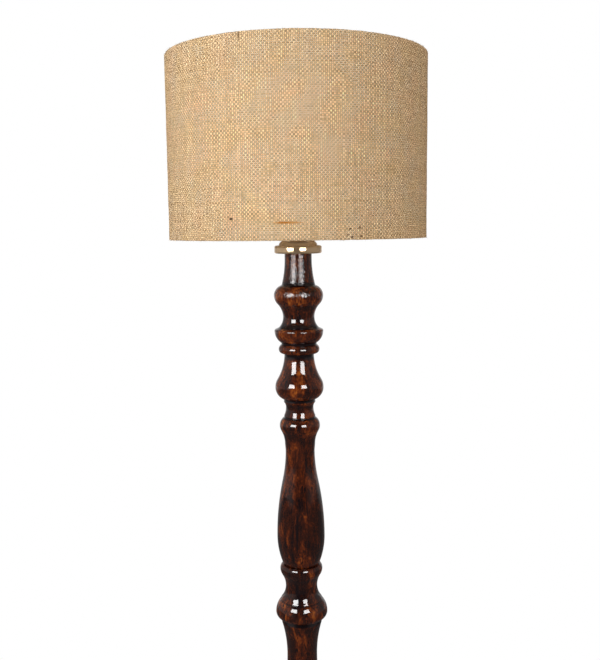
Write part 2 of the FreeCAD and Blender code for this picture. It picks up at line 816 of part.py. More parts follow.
def make_base_inside():
    """Iron weight, steel cover, and the washer and nut that clamp the column."""
    weight_level = DISC_LEVEL + "+recess_depth-weight_thickness"
    tube("base_weight", weight_level, "weight_bore_radius", RECESS + "-weight_gap", "weight_thickness")
    tube("base_cover", COVER_TOP + "-cover_thickness", "0", COVER, "cover_thickness")
    tube("bottom_washer", WASHER_LEVEL, "rod_radius+rod_fit", "washer_radius", "washer_thickness")
    prism = doc.addObject("Part::Prism", "nut_prism")
    prism.Polygon = 6
    prism.setExpression("Circumradius", formula("nut_radius"))
    prism.setExpression("Height", formula("nut_height"))
    hole = doc.addObject("Part::Cylinder", "nut_hole")
    hole.setExpression("Radius", formula("rod_radius+rod_fit"))
    hole.setExpression("Height", formula("nut_height"))
    nut = doc.addObject("Part::Cut", "bottom_nut")
    nut.Base = prism
    nut.Tool = hole
    nut.setExpression("Placement.Base.z", formula(NUT_LEVEL))
    nodes.append(nut)


def make_cord_entry():
    """Gland in the rear wall and the terminal block on the cover."""
    gland = new_body("cord_gland", DISC_LEVEL + "+gland_height")
    lay_down(gland, -90)
    revolve(gland, [
        Corner(RECESS, "gland_bore_radius"),
        Corner("=", "gland_radius"),
        Corner("disc_radius", "="),
        Corner("=", "gland_flange_radius"),
        Corner("+gland_flange_thickness", "="),
        Corner("=", "gland_bore_radius"),
    ])
    block = new_body("terminal_block", COVER_TOP)
    sketch = new_sketch(block, "outline", "XY_Plane")
    far = "block_offset+block_length"
    add_polygon(sketch, [
        ("-block_half_width", "block_offset"),
        ("block_half_width", "block_offset"),
        ("block_half_width", far),
        ("-block_half_width", far),
    ])
    pad(block, sketch, "block_height")


# --- The column -----------------------------------------------------------------------------------


def make_column():
    """The turned pieces from the riser to the neck."""
    turned_section("base_riser", RISER_LEVEL, RISER)
    turned_section("column_foot", FOOT_LEVEL, FOOT)
    turned_section("column_middle", MIDDLE_LEVEL, MIDDLE)
    turned_section("column_upper", UPPER_LEVEL, UPPER)
    head = new_body("column_head", HEAD_LEVEL)
    revolve(head, HEAD + [
        Corner("=", "rod_hole_radius"),
        Corner("tenon_length+joinery_play", "="),
        Corner("=", "tenon_radius+joinery_play"),
        Corner("0", "="),
    ])


def make_cap():
    """Cast brass cap: band, groove and dome over a boss that stands on the neck."""
    flange_ceiling = "cap_lower_round+cap_band_height+cap_upper_round-cap_groove_depth-cap_wall"
    body = new_body("brass_cap", CAP_LEVEL)
    revolve(body, CAP + [
        Corner("=", "rod_radius+rod_fit"),
        Corner("0", "="),
        Corner("=", "cap_boss_radius"),
        Corner(flange_ceiling + "+cap_dome_height", "="),
        Corner("=", "cap_dome_radius-cap_dome_round-cap_wall"),
        Corner(flange_ceiling, "cap_dome_radius-cap_wall"),
        Corner("=", "cap_radius-cap_upper_round-cap_groove_width"),
        Corner("cap_lower_round+cap_band_height", "cap_radius-cap_wall"),
        Corner("cap_lower_round", "="),
        Corner("0", "cap_radius-cap_lower_round-cap_wall"),
    ])


def make_rod():
    """Hollow rod from under the bottom nut into the socket cap."""
    up_to_socket = SOCKET_LEVEL + "+rod_engagement"
    length = up_to_socket + negative(ROD_LEVEL)
    tube("stem_rod", ROD_LEVEL, "rod_bore_radius", "rod_radius", length)


def make_flex():
    """Flex from the terminal block, round one bend and up the rod to the socket block."""
    body = new_body("internal_flex", FLEX_LEVEL)
    length = SOCKET_LEVEL + "+socket_floor_height" + negative(FLEX_LEVEL)
    path = Outline(body, [
        Corner("0", "block_offset"),
        Corner("=", FLEX_BEND),
        Corner("+" + FLEX_BEND, "0", "round_to"),
        Corner(length, "0"),
    ], "path", "YZ_Plane", closed=False)
    section = new_sketch(body, "section", "XZ_Plane", "-block_offset")
    add_circle(section, "flex_radius")
    pipe(body, path.sketch, section)


# --- Harp and finial ----------------------------------------------------------------------------


def make_saddle():
    """Steel strap with upturned sides that narrow to tabs."""
    body = new_body("harp_saddle", SADDLE_LEVEL)
    outside = "saddle_half_span+saddle_half_thickness"
    inside = "saddle_half_span-saddle_half_thickness"
    strap = new_sketch(body, "strap", "XZ_Plane")
    add_polygon(strap, [
        (negative(outside), ""),
        (outside, ""),
        (outside, "saddle_side_height"),
        (inside, "saddle_side_height"),
        (inside, SADDLE_THICKNESS),
        (negative(inside), SADDLE_THICKNESS),
        (negative(inside), "saddle_side_height"),
        (negative(outside), "saddle_side_height"),
    ])
    pad(body, strap, "saddle_width", midplane=True)
    tab_top = "saddle_side_height+saddle_tab_height"
    for side, (near, far) in {
        "right": (inside, outside),
        "left": (negative(outside), negative(inside)),
    }.items():
        tab = new_sketch(body, f"{side}_tab", "XZ_Plane")
        add_polygon(tab, [
            (near, "saddle_side_height"),
            (far, "saddle_side_height"),
            (far, tab_top),
            (near, tab_top),
        ])
        pad(body, tab, "saddle_tab_width", midplane=True)
    hole = new_sketch(body, "rod_hole", "XY_Plane")
    add_circle(hole, "rod_radius+rod_fit")
    pocket(body, hole, SADDLE_THICKNESS, reverse=True)


def make_sleeves():
    """Sleeves that lock the harp's legs to the saddle's tabs."""
    bore = "sleeve_radius-sleeve_wall"
    for side, across in {"right": "saddle_half_span", "left": "-saddle_half_span"}.items():
        sleeve = tube(f"harp_sleeve_{side}", SLEEVE_LEVEL, bore, "sleeve_radius", "sleeve_height")
        sleeve.setExpression("Placement.Base.x", formula(across))


def make_harp():
    """Two bent wires that meet in a bored plate."""
    body = new_body("harp", HARP_FOOT_LEVEL)
    plate = new_sketch(body, "plate", "XY_Plane", HARP_RISE + "-harp_plate_thickness")
    add_circle(plate, "harp_plate_radius")
    add_circle(plate, "stud_radius+stud_fit")
    pad(body, plate, "harp_plate_thickness")
    path = Outline(body, [
        Corner("0", "saddle_half_span"),
        Corner("+harp_leg_height", "="),
        Corner("+harp_shoulder_height", "harp_half_width", "ogee", "harp_shoulder_share"),
        Corner(HARP_RISE + "-harp_wire_drop-harp_top_bend", "="),
        Corner("+harp_top_bend", "-harp_top_bend", "round_from"),
        Corner("=", "harp_wire_end"),
    ], "path", closed=False)
    section = new_sketch(body, "section", "XY_Plane")
    add_circle(section, "harp_wire_radius", across="saddle_half_span")
    wire = pipe(body, path.sketch, section)
    mirror = body.newObject("PartDesign::Mirrored", "harp_other_side")
    mirror.Originals = [wire]
    mirror.MirrorPlane = (origin_feature(body, "YZ_Plane"), [""])
    body.Tip = mirror


def make_stud():
    """Headed stud that the shade's hub and the finial go on."""
    level = HUB_LEVEL + "-harp_plate_thickness-stud_head_height"
    body = new_body("harp_stud", level)
    revolve(body, [
        Corner("0", "0"),
        Corner("=", "stud_head_radius"),
        Corner("+stud_head_height", "="),
        Corner("=", "stud_radius"),
        Corner("+harp_plate_thickness+" + HUB_THICKNESS + "+stud_length", "="),
        Corner("=", "0"),
    ])


def make_finial():
    """Turned neck and ball that screw down on the hub."""
    bore = "stud_radius+stud_fit"
    neck = new_body("finial_neck", FINIAL_LEVEL)
    revolve(neck, [
        Corner("0", bore),
        Corner("=", "finial_neck_radius"),
        Corner("+finial_lip_height", "="),
        Corner("+finial_neck_height", "finial_waist_radius", "round_to"),
        Corner("=", bore),
    ])
    knob = new_body("finial_knob", FINIAL_LEVEL + "+finial_lip_height+finial_neck_height")
    revolve(knob, [
        Corner("0", bore),
        Corner("=", "finial_waist_radius"),
        Corner("+finial_knob_lower", "finial_knob_radius", "round_to"),
        Corner("+finial_knob_radius", "0", "round_from"),
        Corner("stud_length-finial_lip_height-finial_neck_height+finial_bore_spare", "0"),
        Corner("=", bore),
    ])


# --- Socket, switch and bulb ----------------------------------------------------------------------


def make_socket():
    """Cap, shell, insulating liner, block, screw shell and contact spring."""
    cap = new_body("socket_cap", SOCKET_LEVEL)
    revolve(cap, [
        Corner("0", "rod_radius+rod_fit"),
        Corner("=", "socket_collar_radius"),
        Corner("+socket_collar_height", "="),
        Corner("+socket_dome_height", "socket_cap_radius", "round_to"),
        Corner("+socket_cap_rim", "="),
        Corner("=", "-socket_wall"),
        Corner(SHELL_FLOOR, "="),
        Corner("socket_collar_height+socket_wall", "socket_collar_radius", "round_from"),
        Corner("=", "rod_radius+rod_fit"),
    ])
    shell = tube("socket_shell", SOCKET_LEVEL + "+" + SHELL_FLOOR, SHELL_BORE, SHELL_RADIUS,
                 "socket_shell_height")
    slot = new_sketch(shell, "switch_hole", "XZ_Plane")
    above_shell_foot = "socket_floor_height+switch_height" + negative(SHELL_FLOOR)
    add_circle(slot, "spindle_radius+switch_play", up=above_shell_foot)
    pocket(shell, slot, "socket_cap_radius", reverse=True)
    liner_bore = INSIDE_SHELL + "-liner_thickness"
    liner_height = SHELL_FLOOR + "+socket_shell_height-liner_recess" + negative(BLOCK_TOP)
    on_block = SOCKET_LEVEL + "+" + BLOCK_TOP
    tube("socket_liner", on_block, liner_bore, INSIDE_SHELL, liner_height)
    block = tube("socket_block", SOCKET_LEVEL + "+socket_floor_height", "0", INSIDE_SHELL,
                 "socket_block_height")
    seat = new_sketch(block, "spindle_seat", "XZ_Plane", INSIDE_SHELL + "-spindle_depth")
    add_circle(seat, "spindle_radius+switch_play", up="switch_height")
    pocket(block, seat, "socket_cap_radius", reverse=True)
    tube("screw_shell", on_block, "screw_shell_radius-screw_shell_wall", "screw_shell_radius",
         "screw_shell_height")
    spring = new_body("contact_spring", on_block)
    strip = new_sketch(spring, "strip", "XZ_Plane")
    under_top = "spring_height-spring_thickness"
    add_polygon(strip, [
        ("-spring_reach", ""),
        ("-spring_nose", ""),
        ("", under_top),
        ("spring_nose", under_top),
        ("spring_nose", "spring_height"),
        ("-spring_thickness", "spring_height"),
        ("-spring_nose-spring_thickness", "spring_thickness"),
        ("-spring_reach", "spring_thickness"),
    ])
    pad(spring, strip, "spring_width", midplane=True)


def make_switch():
    """Spindle and knob that turn on a level axis towards the front."""
    spindle_start = INSIDE_SHELL + "-spindle_depth"
    spindle = new_body("switch_spindle", SWITCH_LEVEL)
    lay_down(spindle, 90)
    revolve(spindle, [
        Corner(spindle_start, "0"),
        Corner("=", "spindle_radius"),
        Corner("+spindle_length", "="),
        Corner("=", "0"),
    ])
    knob_bore = "spindle_radius+socket_fit"
    knob = new_body("switch_knob", SWITCH_LEVEL)
    lay_down(knob, 90)
    revolve(knob, [
        Corner("socket_cap_radius+switch_knob_gap", knob_bore),
        Corner("=", "switch_knob_radius"),
        Corner("+switch_knob_length-switch_knob_round", "="),
        Corner("+switch_knob_round", "-switch_knob_round", "round_from"),
        Corner("=", "0"),
        Corner(spindle_start + "+spindle_length", "0"),
        Corner("=", knob_bore),
    ])


def make_bulb():
    """Contact, insulator, screw cap, flared body, board and dome."""
    tube("bulb_contact", TIP_LEVEL, "0", "tip_radius", "tip_height")
    insulator = new_body("bulb_insulator", TIP_LEVEL + "+tip_height")
    revolve(insulator, [
        Corner("0", "0"),
        Corner("=", "tip_radius"),
        Corner("+insulator_height", "insulator_radius"),
        Corner("=", "0"),
    ])
    cap = new_body("bulb_cap", BULB_CAP_LEVEL)
    revolve(cap, [
        Corner("0", "0"),
        Corner("=", "insulator_radius"),
        Corner("+bulb_cap_shoulder", "bulb_cap_radius"),
        Corner("+bulb_cap_height", "="),
        Corner("=", "0"),
    ])
    flare = new_body("bulb_body", BULB_BODY_LEVEL)
    revolve(flare, [
        Corner("0", "0"),
        Corner("=", "bulb_neck_radius"),
        Corner("+bulb_neck_height", "="),
        Corner("+bulb_body_height", "bulb_body_radius", "ogee", "bulb_body_share"),
        Corner("=", "0"),
    ])
    tube("led_board", BULB_DOME_LEVEL, "0", "led_board_radius", "led_board_thickness")
    dome = new_body("bulb_dome", BULB_DOME_LEVEL)
    revolve(dome, [
        Corner("0", "<bulb_skirt_depth"),
        Corner("+bulb_skirt_height", "bulb_radius", "round_to"),
        Corner("+bulb_radius", "0", "round_from"),
        Corner("-bulb_wall", "0"),
        Corner("bulb_skirt_height", "bulb_radius-bulb_wall", "round_to"),
        Corner("0", "-bulb_skirt_depth", "round_from"),
    ])


# --- The shade ------------------------------------------------------------------------------------


def make_shade_skin():
    """Burlap cover with its edges turned in over the rings, and the stiff liner behind it."""
    jute = new_body("shade_jute", SHADE_LEVEL)
    revolve(jute, [
        Corner("0", "shade_radius-hem_width"),
        Corner("=", "shade_radius"),
        Corner("+shade_height", "="),
        Corner("=", "-hem_width"),
        Corner("-jute_thickness", "="),
        Corner("=", "shade_radius-jute_thickness"),
        Corner("jute_thickness", "="),
        Corner("=", "shade_radius-hem_width"),
    ])
    tube("shade_liner", SHADE_LEVEL + "+jute_thickness", LINER_BORE,
         "shade_radius-jute_thickness", "shade_height-jute_thickness-jute_thickness")


def wire_ring(body, height, kind="Revolution"):
    """A ring of round wire inside the liner, its centre at a height, or the groove that it fits."""
    section = new_sketch(body, "ring_section", "XZ_Plane")
    add_circle(section, "ring_wire_radius", across=WIRE_RING, up=height)
    ring = body.newObject("PartDesign::" + kind, f"{body.Label}_ring")
    ring.Profile = section
    ring.ReferenceAxis = (section, ["V_Axis"])
    ring.Angle = 360
    return ring


def make_shade_frame():
    """Bottom and top rings, and the spider: a bored hub with bent arms that end against the top ring."""
    wire_ring(new_body("shade_bottom_ring", SHADE_LEVEL), RING_INSET)
    wire_ring(new_body("shade_top_ring", SHADE_TOP), negative(RING_INSET))
    body = new_body("shade_spider", HUB_LEVEL + "+hub_half_thickness")
    hub = new_sketch(body, "hub", "XY_Plane")
    add_circle(hub, "hub_radius")
    add_circle(hub, "stud_radius+hub_play")
    pad(body, hub, HUB_THICKNESS, midplane=True)
    ring_height = "spider_drop-hub_half_thickness" + negative(RING_INSET)
    path = Outline(body, [
        Corner("spider_arm_lift", "spider_arm_start"),
        Corner("=", WIRE_RING + "-spider_arm_bend"),
        Corner("+spider_arm_bend", "+spider_arm_bend", "round_to"),
        Corner(ring_height, "="),
    ], "arm_path", "YZ_Plane", closed=False)
    section = new_sketch(body, "arm_section", "XZ_Plane", "-spider_arm_start")
    add_circle(section, "spider_arm_radius", up="spider_arm_lift")
    arm = pipe(body, path.sketch, section)
    polar_copies(body, arm, "spider_arm_count")
    body.Tip = wire_ring(body, ring_height, "Groove")


# --- Building and writing -------------------------------------------------------------------------


def check_document():
    """Stop if an object failed, or a piece is empty or not valid."""
    doc.recompute()
    for item in doc.Objects:
        if "Invalid" in item.State or "Error" in item.State:
            raise RuntimeError(f"{item.Label} failed: {item.State}")
    for node in nodes:
        if node.Shape.isNull() or not node.Shape.isValid():
            raise RuntimeError(f"{node.Label} has no valid shape")


def write_nodes():
    """Write each piece to its own STEP file."""
    os.makedirs("parts", exist_ok=True)
    for node in nodes:
        node.Shape.exportStep(f"parts/{node.Label}.step")
        box = node.Shape.BoundBox
        print(f"{node.Label}: {len(node.Shape.Solids)} solids, z {box.ZMin:.1f} to {box.ZMax:.1f}")


write_sheet()
make_feet()
make_base_disc()
make_base_inside()
make_cord_entry()
make_column()
make_cap()
make_rod()
make_flex()
make_saddle()
make_sleeves()
make_harp()
make_stud()
make_finial()
make_socket()
make_switch()
make_bulb()
make_shade_skin()
make_shade_frame()
check_document()
write_nodes()
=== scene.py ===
# %% [markdown]
# # Dressing a candlestick floor lamp
# The lamp is already built to size in CAD: a weighted round base, a column of turned wood, a brass cap,
# the electrical fittings and a drum shade. Here it gets its looks. The turned wood is spun again with
# softened lips and a glossy stain, the shade gets its burlap, and every fitting gets a finish of its own.
# The CAD pieces are loaded first and never moved, so each new piece takes its place from them.

# %% Load the lamp
import json
import math
import random

import bmesh
import bpy
from mathutils import Matrix, Vector, noise

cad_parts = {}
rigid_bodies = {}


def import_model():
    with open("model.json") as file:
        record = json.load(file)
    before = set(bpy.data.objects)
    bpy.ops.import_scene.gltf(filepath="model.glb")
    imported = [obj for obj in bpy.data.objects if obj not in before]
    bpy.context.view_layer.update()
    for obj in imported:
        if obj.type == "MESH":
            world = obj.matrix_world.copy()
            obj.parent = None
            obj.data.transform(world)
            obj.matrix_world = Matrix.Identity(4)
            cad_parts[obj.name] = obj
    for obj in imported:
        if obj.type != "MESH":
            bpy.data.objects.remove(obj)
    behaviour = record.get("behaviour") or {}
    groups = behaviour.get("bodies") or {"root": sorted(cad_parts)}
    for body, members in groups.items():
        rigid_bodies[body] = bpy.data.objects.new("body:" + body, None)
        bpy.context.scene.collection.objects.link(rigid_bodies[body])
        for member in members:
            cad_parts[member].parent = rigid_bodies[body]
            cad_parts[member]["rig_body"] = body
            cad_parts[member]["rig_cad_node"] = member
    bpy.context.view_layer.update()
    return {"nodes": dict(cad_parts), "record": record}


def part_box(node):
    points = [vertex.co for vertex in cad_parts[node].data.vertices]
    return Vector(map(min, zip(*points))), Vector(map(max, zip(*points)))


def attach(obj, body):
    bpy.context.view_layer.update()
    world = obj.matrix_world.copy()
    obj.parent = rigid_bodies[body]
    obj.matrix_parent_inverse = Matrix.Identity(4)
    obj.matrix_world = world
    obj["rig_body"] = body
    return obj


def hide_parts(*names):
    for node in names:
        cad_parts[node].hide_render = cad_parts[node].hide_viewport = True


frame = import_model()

# %% [markdown]
# ## The photographer's place
# The two rims of the shade are ellipses in the picture, and their shapes give the place and the lens of
# the camera: almost level with the brass cap, 1.36 m in front of the lamp and looking a little down. The
# camera hangs about half a degree out of true, which turns the picture slightly.

# %% Camera
CAMERA_PLACE = (0, -1.356, 1.2657)
CAMERA_TURN = math.radians(-0.075)
CAMERA_DIP = math.radians(7.093)
CAMERA_ROLL = math.radians(-0.591)
CAMERA_LENS = 45.994

camera = bpy.data.objects.new("camera", bpy.data.cameras.new("camera"))
bpy.context.scene.collection.objects.link(camera)
camera.location = CAMERA_PLACE
aim = Matrix.Rotation(CAMERA_TURN, 3, "Z") @ Matrix.Rotation(math.pi / 2 - CAMERA_DIP, 3, "X")
camera.rotation_euler = (aim @ Matrix.Rotation(CAMERA_ROLL, 3, "Z")).to_euler()
camera.data.lens = CAMERA_LENS
camera.data.sensor_width = 36
bpy.context.scene.camera = camera
bpy.context.scene.view_settings.view_transform = "Standard"
print("camera turned by", [round(math.degrees(a), 3) for a in camera.rotation_euler])

# %% [markdown]
# ## Two helpers for modelling by hand
# Operators work on whatever is selected, so a piece is selected alone before anything is done to it, and
# its points, edges or faces are then chosen by a test of their place.

# %% Select a piece and parts of it


def select_only(*pieces):
    """Select these pieces and nothing else; the last one is active."""
    bpy.ops.object.select_all(action="DESELECT")
    for piece in pieces:
        piece.select_set(True)
    bpy.context.view_layer.objects.active = pieces[-1]


def open_mesh(piece):
    """Go into edit mode on one piece."""
    select_only(piece)
    bpy.ops.object.mode_set(mode="EDIT")


def choose(kind, test):
    """Select the points, edges or faces in edit mode that pass a test, and count them."""
    bpy.ops.mesh.select_all(action="DESELECT")
    bpy.ops.mesh.select_mode(type=kind)
    mesh = bpy.context.edit_object.data
    shape = bmesh.from_edit_mesh(mesh)
    parts = {"VERT": shape.verts, "EDGE": shape.edges, "FACE": shape.faces}[kind]
    found = [part for part in parts if test(part)]
    for part in found:
        part.select_set(True)
    shape.select_flush_mode()
    bmesh.update_edit_mesh(mesh)
    return len(found)


def close_mesh():
    """Leave edit mode."""
    bpy.ops.object.mode_set(mode="OBJECT")


# %% [markdown]
# Shader trees are wired with a few more helpers. One adds a node with its settings and inputs, and the
# others are short forms of the nodes used most. A socket is linked, and a plain value is written into the
# input.

# %% Add and wire nodes


def fill(tree, socket, value):
    """Link another node's output to an input, or write a plain value into it."""
    if isinstance(value, bpy.types.NodeSocket):
        tree.links.new(value, socket)
    else:
        socket.default_value = value


def put(tree, kind, inputs=None, **settings):
    """A node with its settings and its inputs."""
    node = tree.nodes.new(kind)
    for name, value in settings.items():
        setattr(node, name, value)
    for key, value in (inputs or {}).items():
        fill(tree, node.inputs[key], value)
    return node


def sums(tree, operation, *terms, clamp=False):
    """The result of a Math node."""
    node = put(tree, "ShaderNodeMath", dict(enumerate(terms)), operation=operation, use_clamp=clamp)
    return node.outputs[0]


def vectors(tree, operation, *terms, result=0):
    """The result of a Vector Math node."""
    return put(tree, "ShaderNodeVectorMath", dict(enumerate(terms)), operation=operation).outputs[result]


def apart(tree, vector):
    """The three numbers of a vector."""
    return put(tree, "ShaderNodeSeparateXYZ", {0: vector}).outputs


# %% Noise, fades and mixed colours


def mottle(tree, place, scale, detail, roughness=0.5, distortion=0.0):
    """Cloudy noise about 0.5; the scale is the number of clouds in each unit of the place."""
    return put(tree, "ShaderNodeTexNoise", {
        "Vector": place, "Scale": scale, "Detail": detail, "Roughness": roughness, "Distortion": distortion,
    }).outputs[0]


def fade(tree, value, start, end, first=0.0, last=1.0):
    """A number that goes from the first to the last while the value goes from start to end."""
    return put(tree, "ShaderNodeMapRange", {
        "Value": value, "From Min": start, "From Max": end, "To Min": first, "To Max": last,
    }).outputs[0]


def blend(tree, share, first, second, mode="MIX"):
    """A colour mixed from two."""
    node = put(tree, "ShaderNodeMix", data_type="RGBA", blend_type=mode)
    for key, value in (("Factor", share), ("A", first), ("B", second)):
        fill(tree, next(s for s in node.inputs if s.name == key and s.enabled), value)
    return next(s for s in node.outputs if s.enabled)


def ramp(tree, share, *stops):
    """A colour ramp through (place, colour) stops."""
    node = put(tree, "ShaderNodeValToRGB", {0: share})
    steps = node.color_ramp.elements
    while len(steps) < len(stops):
        steps.new(0.5)
    for step, (place, colour) in zip(steps, stops):
        step.position = place
        step.color = (*colour, 1)
    return node.outputs[0]


def grey(value):
    """A grey for a ramp that serves as a curve."""
    return (value, value, value)


# %% Groups and materials


def new_group(name, inputs, outputs):
    """An empty node group with named sockets: a vector, a number or a colour each."""
    group = bpy.data.node_groups.new(name, "ShaderNodeTree")
    for direction, sockets in (("INPUT", inputs), ("OUTPUT", outputs)):
        for socket, kind in sockets.items():
            group.interface.new_socket(name=socket, in_out=direction, socket_type=f"NodeSocket{kind}")
    return group, group.nodes.new("NodeGroupInput").outputs, group.nodes.new("NodeGroupOutput").inputs


def use_group(tree, group, **inputs):
    """A node group placed in a tree, with its inputs."""
    node = put(tree, "ShaderNodeGroup", node_tree=group)
    for key, value in inputs.items():
        fill(tree, node.inputs[key.replace("_", " ").capitalize()], value)
    return node.outputs


def new_finish(name, **plain):
    """A material with its shader, whose uniform values are written on the shader's own sockets."""
    finish = bpy.data.materials.new(name)
    finish.use_nodes = True
    tree = finish.node_tree
    shader = tree.nodes["Principled BSDF"]
    for key, value in plain.items():
        shader.inputs[key.replace("_", " ")].default_value = value
    return finish, tree, shader


def feed(tree, shader, **sockets):
    """Link colours, numbers and normals to the shader."""
    for key, value in sockets.items():
        tree.links.new(value, shader.inputs[key.replace("_", " ")])


def bump(tree, height, distance, strength=1.0):
    """A normal from a height, with the height's full depth in metres."""
    node = put(tree, "ShaderNodeBump", {"Height": height, "Distance": distance, "Strength": strength})
    return node.outputs[0]

# %% [markdown]
# ## The turned wood
# Each turned piece is one outline that goes round the lathe's axis. The CAD node is exact, but its facets
# show in a gloss finish, and its lips are knife-sharp where a turner's are softened by sandpaper and
# lacquer. So a merged copy is cut down to its outline, the outline's corners are rounded, and the outline
# is spun again in fine steps. A float attribute notes how deep each point lies in a groove, because the
# grooves are painted darker: partly stain that gathers there, partly painted shade.

# %% Cut a CAD node down to its outline
FACET_WELD = 2e-6
WELD = 1e-6


def outline_of(node, name):
    """A new piece that is the half outline of a turned CAD node, in the plane y = 0."""
    piece = frame["nodes"][node].copy()
    piece.data = piece.data.copy()
    piece.name = piece.data.name = name
    piece.parent = None
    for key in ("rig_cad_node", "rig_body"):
        del piece[key]
    bpy.context.scene.collection.objects.link(piece)
    piece.data.materials.clear()
    open_mesh(piece)
    bpy.ops.mesh.select_all(action="SELECT")
    bpy.ops.mesh.remove_doubles(threshold=FACET_WELD)
    for normal in ((0, 1, 0), (1, 0, 0)):
        bpy.ops.mesh.select_all(action="SELECT")
        bpy.ops.mesh.bisect(plane_co=(0, 0, 0), plane_no=normal, clear_inner=True, clear_outer=normal[1] == 1,
                            threshold=WELD)
    bpy.ops.mesh.select_all(action="SELECT")
    bpy.ops.mesh.remove_doubles(threshold=FACET_WELD)
    return piece


# %% Spin an outline
LIP_ANGLE = math.radians(24)
LIP_STEPS = 3
SPIN_STEPS = 128
SMOOTH_BELOW = math.radians(40)


def is_lip(point):
    """Whether the outline turns sharply at a point."""
    if len(point.link_edges) != 2 or math.hypot(point.co.x, point.co.y) < WELD:
        return False
    first, second = (edge.other_vert(point).co - point.co for edge in point.link_edges)
    return math.pi - first.angle(second) > LIP_ANGLE


def spin(piece, softness):
    """Round the outline's lips and spin it into a closed piece."""
    if choose("VERT", is_lip) and softness:
        bpy.ops.mesh.bevel(affect="VERTICES", offset=softness, segments=LIP_STEPS, clamp_overlap=True)
    bpy.ops.mesh.select_all(action="SELECT")
    bpy.ops.mesh.spin(steps=SPIN_STEPS, angle=2 * math.pi, center=(0, 0, 0), axis=(0, 0, 1))
    bpy.ops.mesh.select_all(action="SELECT")
    bpy.ops.mesh.remove_doubles(threshold=WELD)
    bpy.ops.mesh.normals_make_consistent(inside=False)
    close_mesh()
    bpy.ops.object.shade_smooth_by_angle(angle=SMOOTH_BELOW)


# %% Write numbers on the points


def note(piece, name, values):
    """Write one number per point for the materials to read."""
    piece.data.attributes.new(name, "FLOAT", "POINT").data.foreach_set("value", values)


def groove_depth(piece, reach=0.007, full=0.0035):
    """Write how deep each point lies between its neighbours up and down the outline, from 0 to 1."""
    points = piece.data.vertices
    outline = {}
    for point in points:
        key = round(point.co.z, 5)
        outline[key] = max(outline.get(key, 0), math.hypot(point.co.x, point.co.y))
    levels = sorted(outline)
    low, high = levels[0], levels[-1]
    mean_radius = {}
    for level in levels:
        around = [max(min(level + reach * step / 4, high), low) for step in (-4, -3, -2, -1, 1, 2, 3, 4)]
        radii = [outline[min(levels, key=lambda z: abs(z - place))] for place in around]
        mean_radius[level] = sum(radii) / len(radii)
    note(piece, "groove", [
        min(max((mean_radius[round(p.co.z, 5)] - math.hypot(p.co.x, p.co.y)) / full, 0), 1) for p in points
    ])
# %% [markdown]
# ## Lacquered walnut
# The wood is stained almost black-brown, rubbed back in places to a warm red and lacquered until it
# shines. Large soft patches set where the red shows, long thin streaks follow the grain up the column and
# short flecks break both. Thin dark drips of stain ran along it, and the grooves are painted darker:
# partly stain that gathers there, partly painted shade. The grain is a node group, because the column
# has it and so has the wide base, with larger patches.

# %% Wood grain group
STREAK_SHARE, FLECK_SHARE = 0.60, 0.42
GROOVE_STAIN_AND_SHADE, DRIP_STAIN = 0.9, 0.22
STAIN_COLOURS = (
    (0.20, (0.010, 0.0046, 0.0060)), (0.42, (0.038, 0.0092, 0.0046)), (0.53, (0.092, 0.0180, 0.0058)),
    (0.64, (0.215, 0.0470, 0.0090)), (0.80, (0.46, 0.130, 0.020)),
)
wood_grain, given, made = new_group(
    "wood_grain",
    {"Place": "Vector", "Patch size": "Float", "Redness": "Float", "Groove": "Float"},
    {"Colour": "Color", "Roughness": "Float", "Height": "Float"},
)


def grain_noise(squash, scale, detail, roughness=0.55, distortion=0.0):
    """Noise drawn out along the grain, which runs up the column."""
    drawn = put(wood_grain, "ShaderNodeMapping", {"Vector": given["Place"], "Scale": (1, 1, squash)})
    return mottle(wood_grain, drawn.outputs[0], scale, detail, roughness, distortion)


def add_layer(total, layer, share):
    """Add a layer of noise that darkens as much as it lightens."""
    return sums(wood_grain, "MULTIPLY_ADD", sums(wood_grain, "SUBTRACT", layer, 0.5), share, total)


# %% Patches, streaks, flecks and drips
patches = grain_noise(0.5, sums(wood_grain, "DIVIDE", 1.0, given["Patch size"]), 4.0, 0.6, 0.9)
streaks = grain_noise(0.09, 130.0, 4.0, 0.62, 0.4)
flecks = grain_noise(0.55, 400.0, 2.0)
drips = grain_noise(0.05, 210.0, 2.0, 0.5, 1.2)
drips = ramp(wood_grain, drips, (0.34, grey(DRIP_STAIN)), (0.41, grey(0)))
rubbed = add_layer(add_layer(patches, streaks, STREAK_SHARE), flecks, FLECK_SHARE)
rubbed = sums(wood_grain, "ADD", rubbed, given["Redness"])
# Grooves are painted darker: partly stain that gathers there, partly painted shade.
rubbed = sums(wood_grain, "MULTIPLY_ADD", given["Groove"], -GROOVE_STAIN_AND_SHADE, rubbed)
stained = ramp(wood_grain, sums(wood_grain, "SUBTRACT", rubbed, drips), *STAIN_COLOURS)
wood_grain.links.new(stained, made["Colour"])
wood_grain.links.new(sums(wood_grain, "MULTIPLY_ADD", flecks, 0.25, 0.25), made["Roughness"])
wood_grain.links.new(sums(wood_grain, "ADD", streaks, flecks), made["Height"])
print("wood grain:", len(wood_grain.nodes), "nodes")

# %% [markdown]
# The lacquer is the shader's own coat, over wood that has no gloss of its own. It lies in soft ripples with
# a faint peel, and on the neck it is pitted, which breaks up the reflections there. How much red shows also
# changes up the column: a ramp over the height, in metres, sets it at each level.

# %% Lacquer over the grain
COLUMN_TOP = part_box("column_head")[1].z
TONE_UP_THE_COLUMN = [(level / COLUMN_TOP, grey(tone)) for level, tone in (
    (0.30, 0.49), (0.66, 0.50), (0.69, 0.52), (0.72, 0.42), (0.80, 0.43), (0.93, 0.50), (1.02, 0.53),
    (1.19, 0.54),
)]
RIPPLE_SCALE, PEEL_SCALE, PIT_SCALE = 110.0, 650.0, 360.0
PEEL_SHARE, PIT_SHARE = 0.12, 2.6
LACQUER_RELIEF, GRAIN_RELIEF = 0.00025, 0.00012


